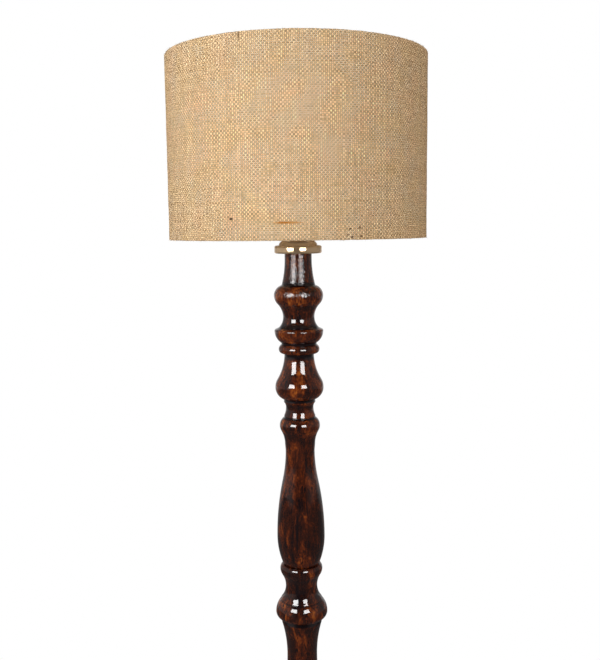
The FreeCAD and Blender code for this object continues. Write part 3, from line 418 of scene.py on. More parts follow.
def lacquered_wood(name, patch_size):
    """Stained and lacquered walnut."""
    finish, tree, shader = new_finish(name, Coat_Weight=1.0, Coat_Roughness=0.04, Coat_IOR=1.46,
                                      Specular_IOR_Level=0.0)
    place = put(tree, "ShaderNodeTexCoord").outputs["Object"]
    groove = put(tree, "ShaderNodeAttribute", attribute_name="groove").outputs["Fac"]
    pitted = put(tree, "ShaderNodeAttribute", attribute_name="pitted").outputs["Fac"]
    tone = ramp(tree, sums(tree, "DIVIDE", apart(tree, place)[2], COLUMN_TOP), *TONE_UP_THE_COLUMN)
    grain = use_group(tree, wood_grain, Place=place, Patch_size=patch_size, Groove=groove,
                      Redness=sums(tree, "SUBTRACT", tone, 0.5))
    peel = sums(tree, "MULTIPLY", mottle(tree, place, PEEL_SCALE, 1.0), PEEL_SHARE)
    pits = sums(tree, "MULTIPLY", pitted, PIT_SHARE)
    grit = sums(tree, "MULTIPLY_ADD", mottle(tree, place, PIT_SCALE, 2.0), pits, peel)
    skin = sums(tree, "ADD", mottle(tree, place, RIPPLE_SCALE, 2.0), grit)
    feed(tree, shader, Base_Color=grain["Colour"], Roughness=grain["Roughness"],
         Normal=bump(tree, grain["Height"], GRAIN_RELIEF), Coat_Normal=bump(tree, skin, LACQUER_RELIEF))
    return finish


walnut = lacquered_wood("lacquered_walnut", patch_size=0.028)
base_walnut = lacquered_wood("lacquered_walnut_base", patch_size=0.050)
print("wood finishes:", walnut.name, "and", base_walnut.name)

# %% [markdown]
# Every finished piece is handed over in the same way: it gets its finish, rides on its body and stands in
# for the CAD node that it was made from, which is hidden.

# %% Hand a piece over


def hand_over(piece, body, slot, finish, *nodes):
    """Give a piece its finish and its body, and hide the nodes that it stands for; the slot is not used."""
    piece.data.materials.clear()
    piece.data.materials.append(finish)
    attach(piece, body)
    if nodes:
        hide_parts(*nodes)
    return piece


# %% Turn the column and the base
LIP_SOFTNESS = 0.0006
NECK_FOOT, NECK_BLEND = 1.1475, 0.004
for node in ("base_disc", "base_riser", "column_foot", "column_middle", "column_upper", "column_head"):
    piece = outline_of(node, node + "_turned")
    spin(piece, LIP_SOFTNESS)
    groove_depth(piece)
    up_the_neck = [(point.co.z - NECK_FOOT) / NECK_BLEND for point in piece.data.vertices]
    note(piece, "pitted", [min(max(share, 0), 1) for share in up_the_neck])
    hand_over(piece, "lamp", "turned_wood", base_walnut if node.startswith("base") else walnut, node)
    print(piece.name, len(piece.data.polygons), "faces")

# %% [markdown]
# ## Polished brass
# The cap and the finial are turned brass under clear lacquer. Brass has no colour of its own apart from
# its reflections, so the shader is mostly metallic. The rest stays plain colour, which stands for the haze
# of old lacquer. Every fitting has also been handled, so cloudy marks and specks change its colour and
# roughness a little.

# %% Handling marks group
SPECKS_TO_A_CLOUD = 9.0
handling, given, made = new_group(
    "handling_marks",
    {"Place": "Vector", "Size": "Float", "Amount": "Float"},
    {"Mask": "Float", "Height": "Float"},
)
mark_scale = sums(handling, "DIVIDE", 1.0, given["Size"])
cloudy = mottle(handling, given["Place"], mark_scale, 5.0, 0.7)
specks = mottle(handling, given["Place"], sums(handling, "MULTIPLY", mark_scale, SPECKS_TO_A_CLOUD), 2.0)
mask = sums(handling, "MULTIPLY_ADD", specks, 0.4, cloudy)
mask = ramp(handling, mask, (0.55, grey(0)), (0.95, grey(1)))
handling.links.new(sums(handling, "MULTIPLY", mask, given["Amount"]), made["Mask"])
handling.links.new(sums(handling, "ADD", cloudy, sums(handling, "MULTIPLY", specks, 0.5)), made["Height"])
print("handling marks:", len(handling.nodes), "nodes")

# %% A finish that was handled
DULLING = 0.8


def worn(name, clean, dulled, roughness, metallic=0.0, size=0.012, amount=0.7, relief=0.00002, **plain):
    """A finish whose colour and roughness vary where it was handled."""
    finish, tree, shader = new_finish(name, Metallic=metallic, **plain)
    place = put(tree, "ShaderNodeTexCoord").outputs["Object"]
    marks = use_group(tree, handling, Place=place, Size=size, Amount=amount)
    colour = blend(tree, marks["Mask"], (*clean, 1), (*dulled, 1))
    rough = sums(tree, "MULTIPLY_ADD", marks["Mask"], roughness * DULLING, roughness)
    feed(tree, shader, Base_Color=colour, Roughness=rough, Normal=bump(tree, marks["Height"], relief))
    return finish


# %% Metals, plastics and boards
polished_brass = worn("polished_brass", (0.84, 0.60, 0.37), (0.74, 0.50, 0.29), 0.08, metallic=0.72,
                      size=0.02)
socket_brass = worn("socket_brass", (0.76, 0.60, 0.33), (0.60, 0.43, 0.20), 0.22, metallic=1.0)
zinc = worn("zinc_plate", (0.62, 0.62, 0.60), (0.45, 0.45, 0.44), 0.32, metallic=1.0)
aluminium = worn("bright_aluminium", (0.82, 0.82, 0.81), (0.62, 0.62, 0.61), 0.25, metallic=1.0)
solder = worn("solder", (0.66, 0.65, 0.62), (0.42, 0.41, 0.39), 0.38, metallic=1.0, size=0.003)
enamel = worn("frame_enamel", (0.86, 0.85, 0.80), (0.70, 0.67, 0.58), 0.38, size=0.01, amount=0.5)
styrene = worn("shade_styrene", (0.88, 0.84, 0.75), (0.80, 0.74, 0.62), 0.62, size=0.05, amount=0.6)
black_paint = worn("cover_paint", (0.035, 0.033, 0.032), (0.075, 0.07, 0.066), 0.42, size=0.03)
cast_iron = worn("cast_iron", (0.10, 0.095, 0.09), (0.045, 0.042, 0.04), 0.7, metallic=0.6, size=0.006,
                 relief=0.0004)
rubber = worn("foot_rubber", (0.045, 0.043, 0.041), (0.10, 0.095, 0.09), 0.75, size=0.008)
black_plastic = worn("switch_plastic", (0.035, 0.030, 0.027), (0.07, 0.062, 0.056), 0.40, size=0.008)
phenolic = worn("phenolic", (0.028, 0.022, 0.018), (0.06, 0.045, 0.035), 0.32, size=0.006)
nylon = worn("natural_nylon", (0.82, 0.81, 0.77), (0.70, 0.68, 0.62), 0.5, size=0.006)
board_paper = worn("liner_board", (0.50, 0.40, 0.28), (0.36, 0.27, 0.17), 0.85, size=0.004, relief=0.0001)
sheath = worn("flex_sheath", (0.045, 0.026, 0.016), (0.085, 0.055, 0.038), 0.55, size=0.01)
bulb_white = worn("bulb_plastic", (0.90, 0.90, 0.88), (0.80, 0.79, 0.75), 0.35, size=0.02, amount=0.4)
opal = worn("opal_diffuser", (0.93, 0.93, 0.91), (0.86, 0.85, 0.81), 0.45, size=0.03, amount=0.4,
            Subsurface_Weight=0.25, Subsurface_Scale=0.004)
solder_mask = worn("board_white", (0.88, 0.88, 0.86), (0.78, 0.77, 0.74), 0.4, size=0.005)
print(len(bpy.data.materials), "finishes so far")

# %% Give the fittings their finishes
FINISHES = {
    "rubber": rubber, "iron_weight": cast_iron, "cover_steel": black_paint, "zinc_steel": zinc,
    "polished_brass": polished_brass, "socket_brass": socket_brass, "liner_board": board_paper,
    "phenolic": phenolic, "shell_aluminium": aluminium, "switch_plastic": black_plastic, "block_nylon": nylon,
    "flex_sheath": sheath, "solder": solder, "bulb_plastic": bulb_white, "bulb_diffuser": opal,
    "board_white": solder_mask, "shade_styrene": styrene, "frame_enamel": enamel,
}
for part in frame["record"]["subparts"]:
    finish = FINISHES.get(part["material_slot"])
    if finish:
        node = frame["nodes"][part["node"]]
        node.data.materials.clear()
        node.data.materials.append(finish)

# %% Turn the brass
for node, body, softness in (("brass_cap", "lamp", 0.0011), ("finial_neck", "finial_base", 0.0003),
                             ("finial_knob", "finial_ball", 0.0003)):
    piece = outline_of(node, node + "_turned")
    spin(piece, softness)
    hand_over(piece, body, "polished_brass", polished_brass, node)
    print(piece.name, len(piece.data.polygons), "faces")

# %% [markdown]
# ## Burlap
# The shade's cover is raw jute in a plain weave, about 35 threads to 100 mm. The yarns are spun unevenly:
# each swells, thins and changes its tone along its run, and it wanders. The weave is worked out in thread
# counts from a UV map in metres. Which yarn lies on top changes from crossing to crossing, and where
# neither reaches there is a small hole with the pale liner behind it.

# %% Plain weave group
WEAVE_PITCH = 0.00285
FAR_WANDER, NEAR_WANDER = (0.018, 2.2), (0.16, 0.22)
plain_weave, given, made = new_group(
    "plain_weave",
    {"Threads": "Vector", "Looseness": "Float"},
    {"Height": "Float", "Hole": "Float", "Yarn": "Float", "Side": "Float", "Speckle": "Float"},
)


def weave_sum(operation, *terms, clamp=False):
    """A sum in the weave group."""
    return sums(plain_weave, operation, *terms, clamp=clamp)


def drift(scale, reach):
    """A slow shift of the yarns to and fro, by as many thread widths as it reaches."""
    spots = {"Vector": given["Threads"], "Scale": scale, "Detail": 1.0}
    shift = put(plain_weave, "ShaderNodeTexNoise", spots).outputs[1]
    centred = vectors(plain_weave, "ADD", shift, (-0.5, -0.5, -0.5))
    return vectors(plain_weave, "MULTIPLY", centred, (reach, reach, 0))


place = vectors(plain_weave, "ADD", given["Threads"], drift(*FAR_WANDER))
place = vectors(plain_weave, "ADD", place, drift(*NEAR_WANDER))
across, upward = apart(plain_weave, place)[:2]

# %% One set of yarns
YARN_HALF, YARN_SWELL, YARN_SLACK = 0.36, 0.16, -0.15
YARN_LIFT = 0.45
OWN_TONE = 0.25


def chance(number, seed):
    """A random number that belongs to one yarn."""
    return put(plain_weave, "ShaderNodeTexWhiteNoise", {"W": weave_sum("ADD", number, seed)},
               noise_dimensions="1D").outputs["Value"]


def yarn(place, other, seed, over):
    """One set of yarns: its height above the liner, its tone, its round section and each yarn's number."""
    number = weave_sum("FLOOR", place)
    run = put(plain_weave, "ShaderNodeCombineXYZ", {
        0: weave_sum("MULTIPLY_ADD", number, 5.7, seed), 1: weave_sum("MULTIPLY", other, 0.11),
    }).outputs[0]
    spun = mottle(plain_weave, run, 1.0, 2.0)
    aside = weave_sum("MULTIPLY_ADD", chance(number, seed + 13), 0.10, -0.55)
    offset = weave_sum("ADD", weave_sum("SUBTRACT", place, number), aside)
    half = weave_sum("MULTIPLY_ADD", spun, YARN_SWELL, YARN_HALF)
    half = weave_sum("MULTIPLY_ADD", given["Looseness"], YARN_SLACK, half)
    share = weave_sum("DIVIDE", offset, half)
    round_top = weave_sum("SQRT", weave_sum("SUBTRACT", 1.0, weave_sum("MULTIPLY", share, share), clamp=True))
    phase = weave_sum("MULTIPLY_ADD", weave_sum("FRACT", other), math.pi, -math.pi / 2)
    wave = weave_sum("MULTIPLY", weave_sum("COSINE", phase), over)
    lift = weave_sum("MULTIPLY_ADD", wave, YARN_LIFT, 1 - YARN_LIFT)
    tone = weave_sum("MULTIPLY", spun, 1 - OWN_TONE)
    tone = weave_sum("MULTIPLY_ADD", chance(number, seed + 29), OWN_TONE, tone)
    return weave_sum("MULTIPLY", round_top, lift), tone, round_top, number


# %% Weave the two sets
count = weave_sum("ADD", weave_sum("FLOOR", across), weave_sum("FLOOR", upward))
parity = weave_sum("ABSOLUTE", weave_sum("MODULO", count, 2.0))
over = weave_sum("MULTIPLY_ADD", parity, 2.0, -1.0)
warp, warp_tone, warp_there, column = yarn(across, upward, 3.0, over)
weft, weft_tone, weft_there, row = yarn(upward, across, 71.0, weave_sum("MULTIPLY", over, -1.0))
warp_wins = weave_sum("GREATER_THAN", warp, weft)
tone = put(plain_weave, "ShaderNodeMix", {0: warp_wins, 2: weft_tone, 3: warp_tone}).outputs[0]
there = weave_sum("MAXIMUM", warp_there, weft_there)
crossing = put(plain_weave, "ShaderNodeCombineXYZ", {0: column, 1: row, 2: warp_wins}).outputs[0]
fibres = mottle(plain_weave, given["Threads"], 7.0, 2.0)
results = {
    "Height": weave_sum("MULTIPLY_ADD", fibres, 0.18, weave_sum("MAXIMUM", warp, weft)),
    "Hole": ramp(plain_weave, there, (0.0, grey(1)), (0.35, grey(0))),
    "Yarn": tone,
    "Side": warp_wins,
    "Speckle": put(plain_weave, "ShaderNodeTexWhiteNoise", {"Vector": crossing}).outputs["Value"],
}
for socket, result in results.items():
    plain_weave.links.new(result, made[socket])
print("plain weave:", len(plain_weave.nodes), "nodes")

# %% [markdown]
# The finish reads the weave. Each crossing gets a tone of its own, and the warp is painted lighter than the
# weft, as side light shows it, by more in some places than in others: painted light. Low parts of the weave
# are painted darker, as painted shade between the yarns, and now and then a crossing holds a bit of bark.

# %% Burlap's threads
burlap, tree, shader = new_finish("raw_burlap", Roughness=0.95, Specular_IOR_Level=0.08, Sheen_Weight=0.03,
                                  Sheen_Roughness=0.5)
spread = put(tree, "ShaderNodeUVMap", uv_map="cloth").outputs[0]
threads_to_a_metre = (1 / WEAVE_PITCH, 1 / WEAVE_PITCH, 1)
threads = put(tree, "ShaderNodeMapping", {"Vector": spread, "Scale": threads_to_a_metre}).outputs[0]
sideways = sums(tree, "ABSOLUTE", apart(tree, spread)[0])
loose = sums(tree, "ADD", mottle(tree, spread, 30.0, 3.0), fade(tree, sideways, 0.05, 0.14, 0.05, -0.05))
loose = ramp(tree, loose, (0.42, grey(0)), (0.62, grey(1)))
weave = use_group(tree, plain_weave, Threads=threads, Looseness=loose)

# %% Burlap's colour
JUTE_COLOURS = ((0.30, (0.76, 0.505, 0.270)), (0.50, (0.90, 0.635, 0.360)), (0.72, (0.98, 0.745, 0.460)))
JUTE_TINTS = ((0.30, (0.97, 0.97, 0.91)), (0.50, (1.0, 1.0, 1.0)), (0.70, (1.03, 0.99, 1.02)))
LINER_COLOUR = (1.0, 0.88, 0.68, 1)
CROSSING_SPREAD = 0.30
BARK_ABOVE, BARK_DARKNESS = 0.994, 0.35
jute = ramp(tree, weave["Yarn"], *JUTE_COLOURS)
jute = blend(tree, 1.0, jute, ramp(tree, mottle(tree, spread, 24.0, 3.0), *JUTE_TINTS), "MULTIPLY")
mixed = sums(tree, "SUBTRACT", mottle(tree, spread, 60.0, 1.0), 0.05)
# Painted light: the warp is painted lighter than the weft where it lies on top, as side light shows it.
painted_warp_light = sums(tree, "MULTIPLY", sums(tree, "SUBTRACT", weave["Side"], 0.5), mixed)
grains = sums(tree, "MULTIPLY", sums(tree, "SUBTRACT", weave["Speckle"], 0.5), CROSSING_SPREAD)
bark = sums(tree, "MULTIPLY", sums(tree, "GREATER_THAN", weave["Speckle"], BARK_ABOVE), -BARK_DARKNESS)
yarn_tone_and_painted_shade = sums(tree, "ADD", 1.0, sums(tree, "ADD", painted_warp_light, sums(tree, "ADD", grains, bark)))
# Painted shade: the colour darkens where the weave is low, between and beside the yarns.
yarn_tone_and_painted_shade = sums(tree, "MULTIPLY", sums(tree, "MULTIPLY_ADD", weave["Height"], 1.05, 0.12), yarn_tone_and_painted_shade)
yarn_tone_and_painted_shade = put(tree, "ShaderNodeCombineColor", {0: yarn_tone_and_painted_shade, 1: yarn_tone_and_painted_shade, 2: yarn_tone_and_painted_shade}).outputs[0]
jute = blend(tree, 1.0, jute, yarn_tone_and_painted_shade, "MULTIPLY")
jute = blend(tree, weave["Hole"], jute, LINER_COLOUR)
print("burlap so far:", len(tree.nodes), "nodes")

# %% [markdown]
# Raw jute is never clean. A few yarns are stained and bits of bark are caught between them. Each such mark
# is a soft ellipse on the cloth's map, with a ragged edge, and so is a thin darker line along the edge of
# the overlap at the back. A row gives a mark's middle and reach on the map, in metres, and its colour.

# %% Cloth mark group
RAGGEDNESS = 1.6
cloth_mark, given, made = new_group(
    "cloth_mark", {"Spread": "Vector", "Middle": "Vector", "Reach": "Vector"}, {"Mask": "Float"})
away = vectors(cloth_mark, "SUBTRACT", given["Spread"], given["Middle"])
away = vectors(cloth_mark, "DIVIDE", away, given["Reach"])
away = vectors(cloth_mark, "LENGTH", away, result="Value")
ragged = sums(cloth_mark, "SUBTRACT", mottle(cloth_mark, given["Spread"], 500.0, 2.0), 0.5)
away = sums(cloth_mark, "MULTIPLY_ADD", ragged, RAGGEDNESS, away)
cloth_mark.links.new(ramp(cloth_mark, away, (0.55, grey(1)), (1.0, grey(0))), made["Mask"])

# %% Mark the cloth
CLOTH_MARKS = (
    ((-0.0957, 1.2750), (0.0032, 0.0018), (0.045, 0.025, 0.014)),
    ((-0.0130, 1.2693), (0.0230, 0.0021), (0.660, 0.330, 0.110)),
    ((-0.0200, 1.2691), (0.0110, 0.0016), (0.560, 0.210, 0.045)),
    ((0.0735, 1.2600), (0.0026, 0.0015), (0.190, 0.100, 0.045)),
    ((0.0885, 1.2618), (0.0018, 0.0022), (0.260, 0.150, 0.065)),
    ((0.0700, 1.2515), (0.0020, 0.0014), (0.230, 0.130, 0.060)),
    ((0.0765, 1.2485), (0.0024, 0.0016), (0.150, 0.080, 0.040)),
    ((0.0905, 1.2495), (0.0026, 0.0015), (0.170, 0.090, 0.045)),
    ((-0.0787, 1.5185), (0.0009, 0.0075), (0.120, 0.065, 0.030)),
    ((0.1904, 1.4177), (0.0013, 0.0010), (0.150, 0.085, 0.045)),
    ((-0.2600, 1.3300), (0.0015, 0.0010), (0.100, 0.055, 0.030)),
    ((0.3350, 1.4600), (0.0260, 0.0012), (0.480, 0.250, 0.095)),
    ((-0.4700, 1.4050), (0.0020, 0.0011), (0.090, 0.050, 0.028)),
    ((0.5650, 1.3050), (0.0180, 0.0011), (0.500, 0.280, 0.120)),
    # A thin darker line along the edge of the overlap at the back.
    ((0.6312, 1.3843), (0.0007, 0.1500), (0.330, 0.230, 0.130)),
)
for middle, reach, colour in CLOTH_MARKS:
    mark = use_group(tree, cloth_mark, Spread=spread, Middle=(*middle, 0), Reach=(*reach, 1))
    jute = blend(tree, mark["Mask"], jute, (*colour, 1))
feed(tree, shader, Base_Color=jute, Normal=bump(tree, weave["Height"], 0.0007, 0.9))
print(len(CLOTH_MARKS), "marks on the cloth")

# %% [markdown]
# The cover starts as an open cylinder. Each rim is drawn in over the wire ring and turned into the shade as
# a hem, and its edge is rounded. Solidify then gives the cloth its thickness, inwards, so the drum keeps
# its size. The UV map is the flat cloth: the way round the drum, the height, and the hems past both ends.

# %% Cut the cover
SHADE_LOW, SHADE_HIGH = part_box("shade_jute")
SHADE_RADIUS = SHADE_HIGH.x
SHADE_HEIGHT = SHADE_HIGH.z - SHADE_LOW.z
SHADE_MIDDLE = (SHADE_LOW.z + SHADE_HIGH.z) / 2
CLOTH_THICKNESS = 0.0012
HEM_INWARD, HEM_DEPTH = 0.0056, 0.006
COVER_STEPS, COVER_ROWS = 320, 70
RIM_ROUND, RIM_WIDTH = 0.0014, 0.001
bpy.ops.mesh.primitive_cylinder_add(vertices=COVER_STEPS, radius=SHADE_RADIUS, depth=SHADE_HEIGHT,
                                    end_fill_type="NOTHING", location=(0, 0, SHADE_MIDDLE))
cover = bpy.context.object
cover.name = cover.data.name = "burlap_cover"
bpy.ops.object.transform_apply(location=True)


def lies_at(edge, level, beyond=0.0):
    """Whether an edge lies at a level, further from the axis than a radius."""
    return all(abs(v.co.z - level) < 1e-5 and math.hypot(v.co.x, v.co.y) > beyond for v in edge.verts)


# %% Turn the hems in
open_mesh(cover)
choose("EDGE", lambda edge: abs(edge.verts[0].co.z - edge.verts[1].co.z) > SHADE_HEIGHT / 2)
bpy.ops.mesh.subdivide(number_cuts=COVER_ROWS - 1)
inward = (SHADE_RADIUS - HEM_INWARD) / SHADE_RADIUS
for level, towards in ((SHADE_HIGH.z, -1), (SHADE_LOW.z, 1)):
    choose("EDGE", lambda edge: lies_at(edge, level))
    bpy.ops.mesh.extrude_region_move()
    bpy.ops.transform.resize(value=(inward, inward, 1), center_override=(0, 0, level))
    bpy.ops.mesh.extrude_region_move(TRANSFORM_OT_translate={"value": (0, 0, towards * HEM_DEPTH)})
choose("EDGE", lambda edge: any(lies_at(edge, level, SHADE_RADIUS - RIM_WIDTH)
                                for level in (SHADE_LOW.z, SHADE_HIGH.z)))
bpy.ops.mesh.bevel(offset=RIM_ROUND, segments=3, affect="EDGES")
bpy.ops.mesh.select_all(action="SELECT")
bpy.ops.mesh.normals_make_consistent(inside=False)
close_mesh()
print(cover.name, len(cover.data.polygons), "faces")

# %% Lay the cloth's own map
unrolled = cover.data.uv_layers.new(name="cloth")
for face in cover.data.polygons:
    centre_angle = math.atan2(face.center.x, -face.center.y)
    for corner in face.loop_indices:
        place = cover.data.vertices[cover.data.loops[corner].vertex_index].co
        angle = math.atan2(place.x, -place.y)
        if angle - centre_angle > math.pi:
            angle -= 2 * math.pi
        if centre_angle - angle > math.pi:
            angle += 2 * math.pi
        turned_in = (SHADE_RADIUS - math.hypot(place.x, place.y)) * (1 if place.z > SHADE_MIDDLE else -1)
        unrolled.data[corner].uv = (angle * SHADE_RADIUS, place.z + turned_in)

# %% Let the cloth be uneven
LAP_WIDTH, LAP_RISE = 0.015, 0.0008
FINE_WAVES, SLOW_WAVES = 0.00018, 0.0003
RAGGED_EDGE, RAGGED_REACH = 0.0005, 0.006
for point in cover.data.vertices:
    angle = math.atan2(point.co.x, -point.co.y)
    ahead, sideways = math.cos(angle), math.sin(angle)
    spot = Vector((ahead * 40, sideways * 40, point.co.z * 220))
    ease = noise.noise(spot) * FINE_WAVES + noise.noise(spot * 0.13) * SLOW_WAVES
    if (math.pi - abs(angle)) * SHADE_RADIUS < LAP_WIDTH / 2:
        ease += LAP_RISE
    edge_share = max(0, 1 - min(SHADE_HIGH.z - point.co.z, point.co.z - SHADE_LOW.z) / RAGGED_REACH)
    ragged = noise.noise(Vector((ahead * 95, sideways * 95, 3 if point.co.z > SHADE_MIDDLE else 9)))
    radius = math.hypot(point.co.x, point.co.y)
    point.co.x *= (radius + ease) / radius
    point.co.y *= (radius + ease) / radius
    point.co.z += ragged * RAGGED_EDGE * edge_share

# %% Give the cloth its thickness
select_only(cover)
solid = cover.modifiers.new("thickness", "SOLIDIFY")
solid.thickness = CLOTH_THICKNESS
solid.offset = -1
bpy.ops.object.modifier_apply(modifier="thickness")
bpy.ops.object.shade_smooth_by_angle(angle=math.radians(50))
hand_over(cover, "shade", "jute_burlap", burlap, "shade_jute")
print(cover.name, len(cover.data.polygons), "faces with its inner side")

# %% [markdown]
# Burlap sheds fibres. A short one is modelled once, as a slim three-sided cone bent over, and copied several
# hundred times: standing up along both rims, where the yarns were cut, and lying about on the cloth.

# %% One fibre
FIBRE_LENGTH = 0.0040
FIBRE_ROOT, FIBRE_TIP = 0.00011, 0.00003
bpy.ops.mesh.primitive_cone_add(vertices=3, radius1=FIBRE_ROOT, radius2=FIBRE_TIP, depth=FIBRE_LENGTH,
                                end_fill_type="NGON", location=(0, 0, FIBRE_LENGTH / 2))
fibre = bpy.context.object
fibre.name = "fibre"
bpy.ops.object.transform_apply(location=True)
open_mesh(fibre)
choose("EDGE", lambda edge: abs(edge.verts[0].co.z - edge.verts[1].co.z) > FIBRE_LENGTH / 2)
bpy.ops.mesh.subdivide(number_cuts=3)
close_mesh()
print("a fibre has", len(fibre.data.polygons), "faces")

# %% Plant a fibre
fuzz = bmesh.new()


def add_fibre(angle, level, tilt, lean, length, curl):
    """Copy the fibre to a place on the cloth; tilt 0 is up, 90 out and 180 down, and lean goes sideways."""
    first = len(fuzz.verts)
    fuzz.from_mesh(fibre.data)
    fuzz.verts.ensure_lookup_table()
    outward = Matrix.Rotation(angle, 4, "Z")
    aim = Matrix.Rotation(math.radians(tilt), 4, "X") @ Matrix.Rotation(math.radians(lean), 4, "Y")
    root = Matrix.Translation((0, -(SHADE_RADIUS - CLOTH_THICKNESS / 2), level))
    for point in fuzz.verts[first:]:
        share = point.co.z / FIBRE_LENGTH
        point.co.z *= length
        point.co.x += curl * share * share
        point.co = outward @ root @ aim @ point.co


# %% Scatter the fibres
RIM_FIBRES, LYING_FIBRES = 420, 380
RIM_TILT, RIM_LEAN, RIM_LENGTH, RIM_CURL = (5, 75), (-50, 50), (0.35, 0.8), (-0.0012, 0.0012)
LYING_TILT, LYING_LEAN, LYING_LENGTH, LYING_CURL = (8, 24), (-180, 180), (0.6, 1.3), (-0.002, 0.002)
RIM_MARGIN = 0.01
draw = random.Random(41)
for rim, upright in ((SHADE_HIGH.z - CLOTH_THICKNESS / 2, 0), (SHADE_LOW.z + CLOTH_THICKNESS / 2, 180)):
    for _ in range(RIM_FIBRES):
        add_fibre(draw.uniform(0, 2 * math.pi), rim, abs(upright - draw.uniform(*RIM_TILT)),
                  draw.uniform(*RIM_LEAN), draw.uniform(*RIM_LENGTH), draw.uniform(*RIM_CURL))
for _ in range(LYING_FIBRES):
    add_fibre(draw.uniform(0, 2 * math.pi), draw.uniform(SHADE_LOW.z + RIM_MARGIN, SHADE_HIGH.z - RIM_MARGIN),
              draw.uniform(*LYING_TILT), draw.uniform(*LYING_LEAN), draw.uniform(*LYING_LENGTH),
              draw.uniform(*LYING_CURL))
bmesh.ops.recalc_face_normals(fuzz, faces=fuzz.faces)
fuzz.to_mesh(fibre.data)
fuzz.free()
fibre.name = fibre.data.name = "burlap_fibres"
bpy.ops.object.shade_smooth()
stray = worn("stray_fibre", (0.66, 0.50, 0.30), (0.42, 0.29, 0.15), 0.9, size=0.01)
hand_over(fibre, "shade", "jute_burlap", stray)
print(fibre.name, len(fibre.data.polygons), "faces")

# %% [markdown]
# ## Threads, flutes and screws
# The bulb's cap is rolled from thin metal, so its thread is a soft wave that climbs one pitch in each turn.
# The cap is spun like the column, from an outline with many points, and the wave then draws the points
# in. The switch knob is a cylinder whose every other edge is drawn in to make flutes.

# %% Roll the bulb's thread
THREAD_PITCH, THREAD_DEPTH = 0.00363, 0.0009
THREAD_START, THREAD_END = 0.002, 0.004
THREAD_RINGS = 55
CAP_LOW, CAP_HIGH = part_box("bulb_cap")
CAP_WALL = CAP_HIGH.x - 0.0003
cap = outline_of("bulb_cap", "bulb_cap_threaded")
choose("EDGE", lambda edge: all(v.co.x > CAP_WALL for v in edge.verts))
bpy.ops.mesh.subdivide(number_cuts=THREAD_RINGS)
spin(cap, 0)
for point in cap.data.vertices:
    radius = math.hypot(point.co.x, point.co.y)
    if radius > CAP_WALL:
        ends = min((point.co.z - CAP_LOW.z) / THREAD_START, (CAP_HIGH.z - point.co.z) / THREAD_END, 1)
        climb = point.co.z / THREAD_PITCH - math.atan2(point.co.y, point.co.x) / (2 * math.pi)
        drawn_in = THREAD_DEPTH * max(ends, 0) * (0.5 - 0.5 * math.cos(2 * math.pi * climb))
        point.co.x *= (radius - drawn_in) / radius
        point.co.y *= (radius - drawn_in) / radius
hand_over(cap, "bulb", "shell_aluminium", aluminium, "bulb_cap")
print(cap.name, len(cap.data.polygons), "faces")

# %% Shape the switch knob
KNOB_LOW, KNOB_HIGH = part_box("switch_knob")
KNOB_CENTRE = (KNOB_LOW + KNOB_HIGH) / 2
KNOB_FLUTES = 24
KNOB_RIM, KNOB_CROWN = 0.0011, 0.0005
KNOB_DISH_EDGE, KNOB_DISH = 0.0022, 0.0006
bpy.ops.mesh.primitive_cylinder_add(vertices=2 * KNOB_FLUTES, radius=KNOB_HIGH.x,
                                    depth=KNOB_HIGH.y - KNOB_LOW.y, location=KNOB_CENTRE,
                                    rotation=(math.pi / 2, 0, 0))
knob = bpy.context.object
knob.name = knob.data.name = "switch_knob_fluted"
bpy.ops.object.transform_apply(location=True, rotation=True)
open_mesh(knob)
choose("FACE", lambda face: face.normal.y < -0.9)
bpy.ops.mesh.inset(thickness=KNOB_RIM)
bpy.ops.transform.translate(value=(0, -KNOB_CROWN, 0))
bpy.ops.mesh.inset(thickness=KNOB_DISH_EDGE)
bpy.ops.transform.translate(value=(0, KNOB_DISH, 0))

# %% Flute the switch knob
FLUTE_DRAW = 0.9


def in_flute(point):
    """Whether a point lies on every other edge of the knob's side."""
    turn = math.atan2(point.co.z - KNOB_CENTRE.z, point.co.x) / (2 * math.pi) * 2 * KNOB_FLUTES
    at_side = math.hypot(point.co.x, point.co.z - KNOB_CENTRE.z) > KNOB_HIGH.x - 0.0002
    return at_side and round(turn) % 2 == 1


choose("VERT", in_flute)
bpy.ops.transform.resize(value=(FLUTE_DRAW, 1, FLUTE_DRAW), center_override=KNOB_CENTRE)
bpy.ops.mesh.select_all(action="SELECT")
bpy.ops.mesh.normals_make_consistent(inside=False)
close_mesh()
bevel = knob.modifiers.new("soft edges", "BEVEL")
bevel.width = 0.00025
bevel.segments = 2
bevel.limit_method = "ANGLE"
bevel.angle_limit = math.radians(50)
bpy.ops.object.modifier_apply(modifier="soft edges")
bpy.ops.object.shade_smooth_by_angle(angle=math.radians(30))
hand_over(knob, "switch", "switch_plastic", black_plastic, "switch_knob")
print(knob.name, len(knob.data.polygons), "faces")

# %% [markdown]
# Six pan-head screws hold the cover under the base. One is modelled, with a cross sunk in its head, and
# copied round the cover. The cross is a sunk disc whose rim is drawn in between the four arms.

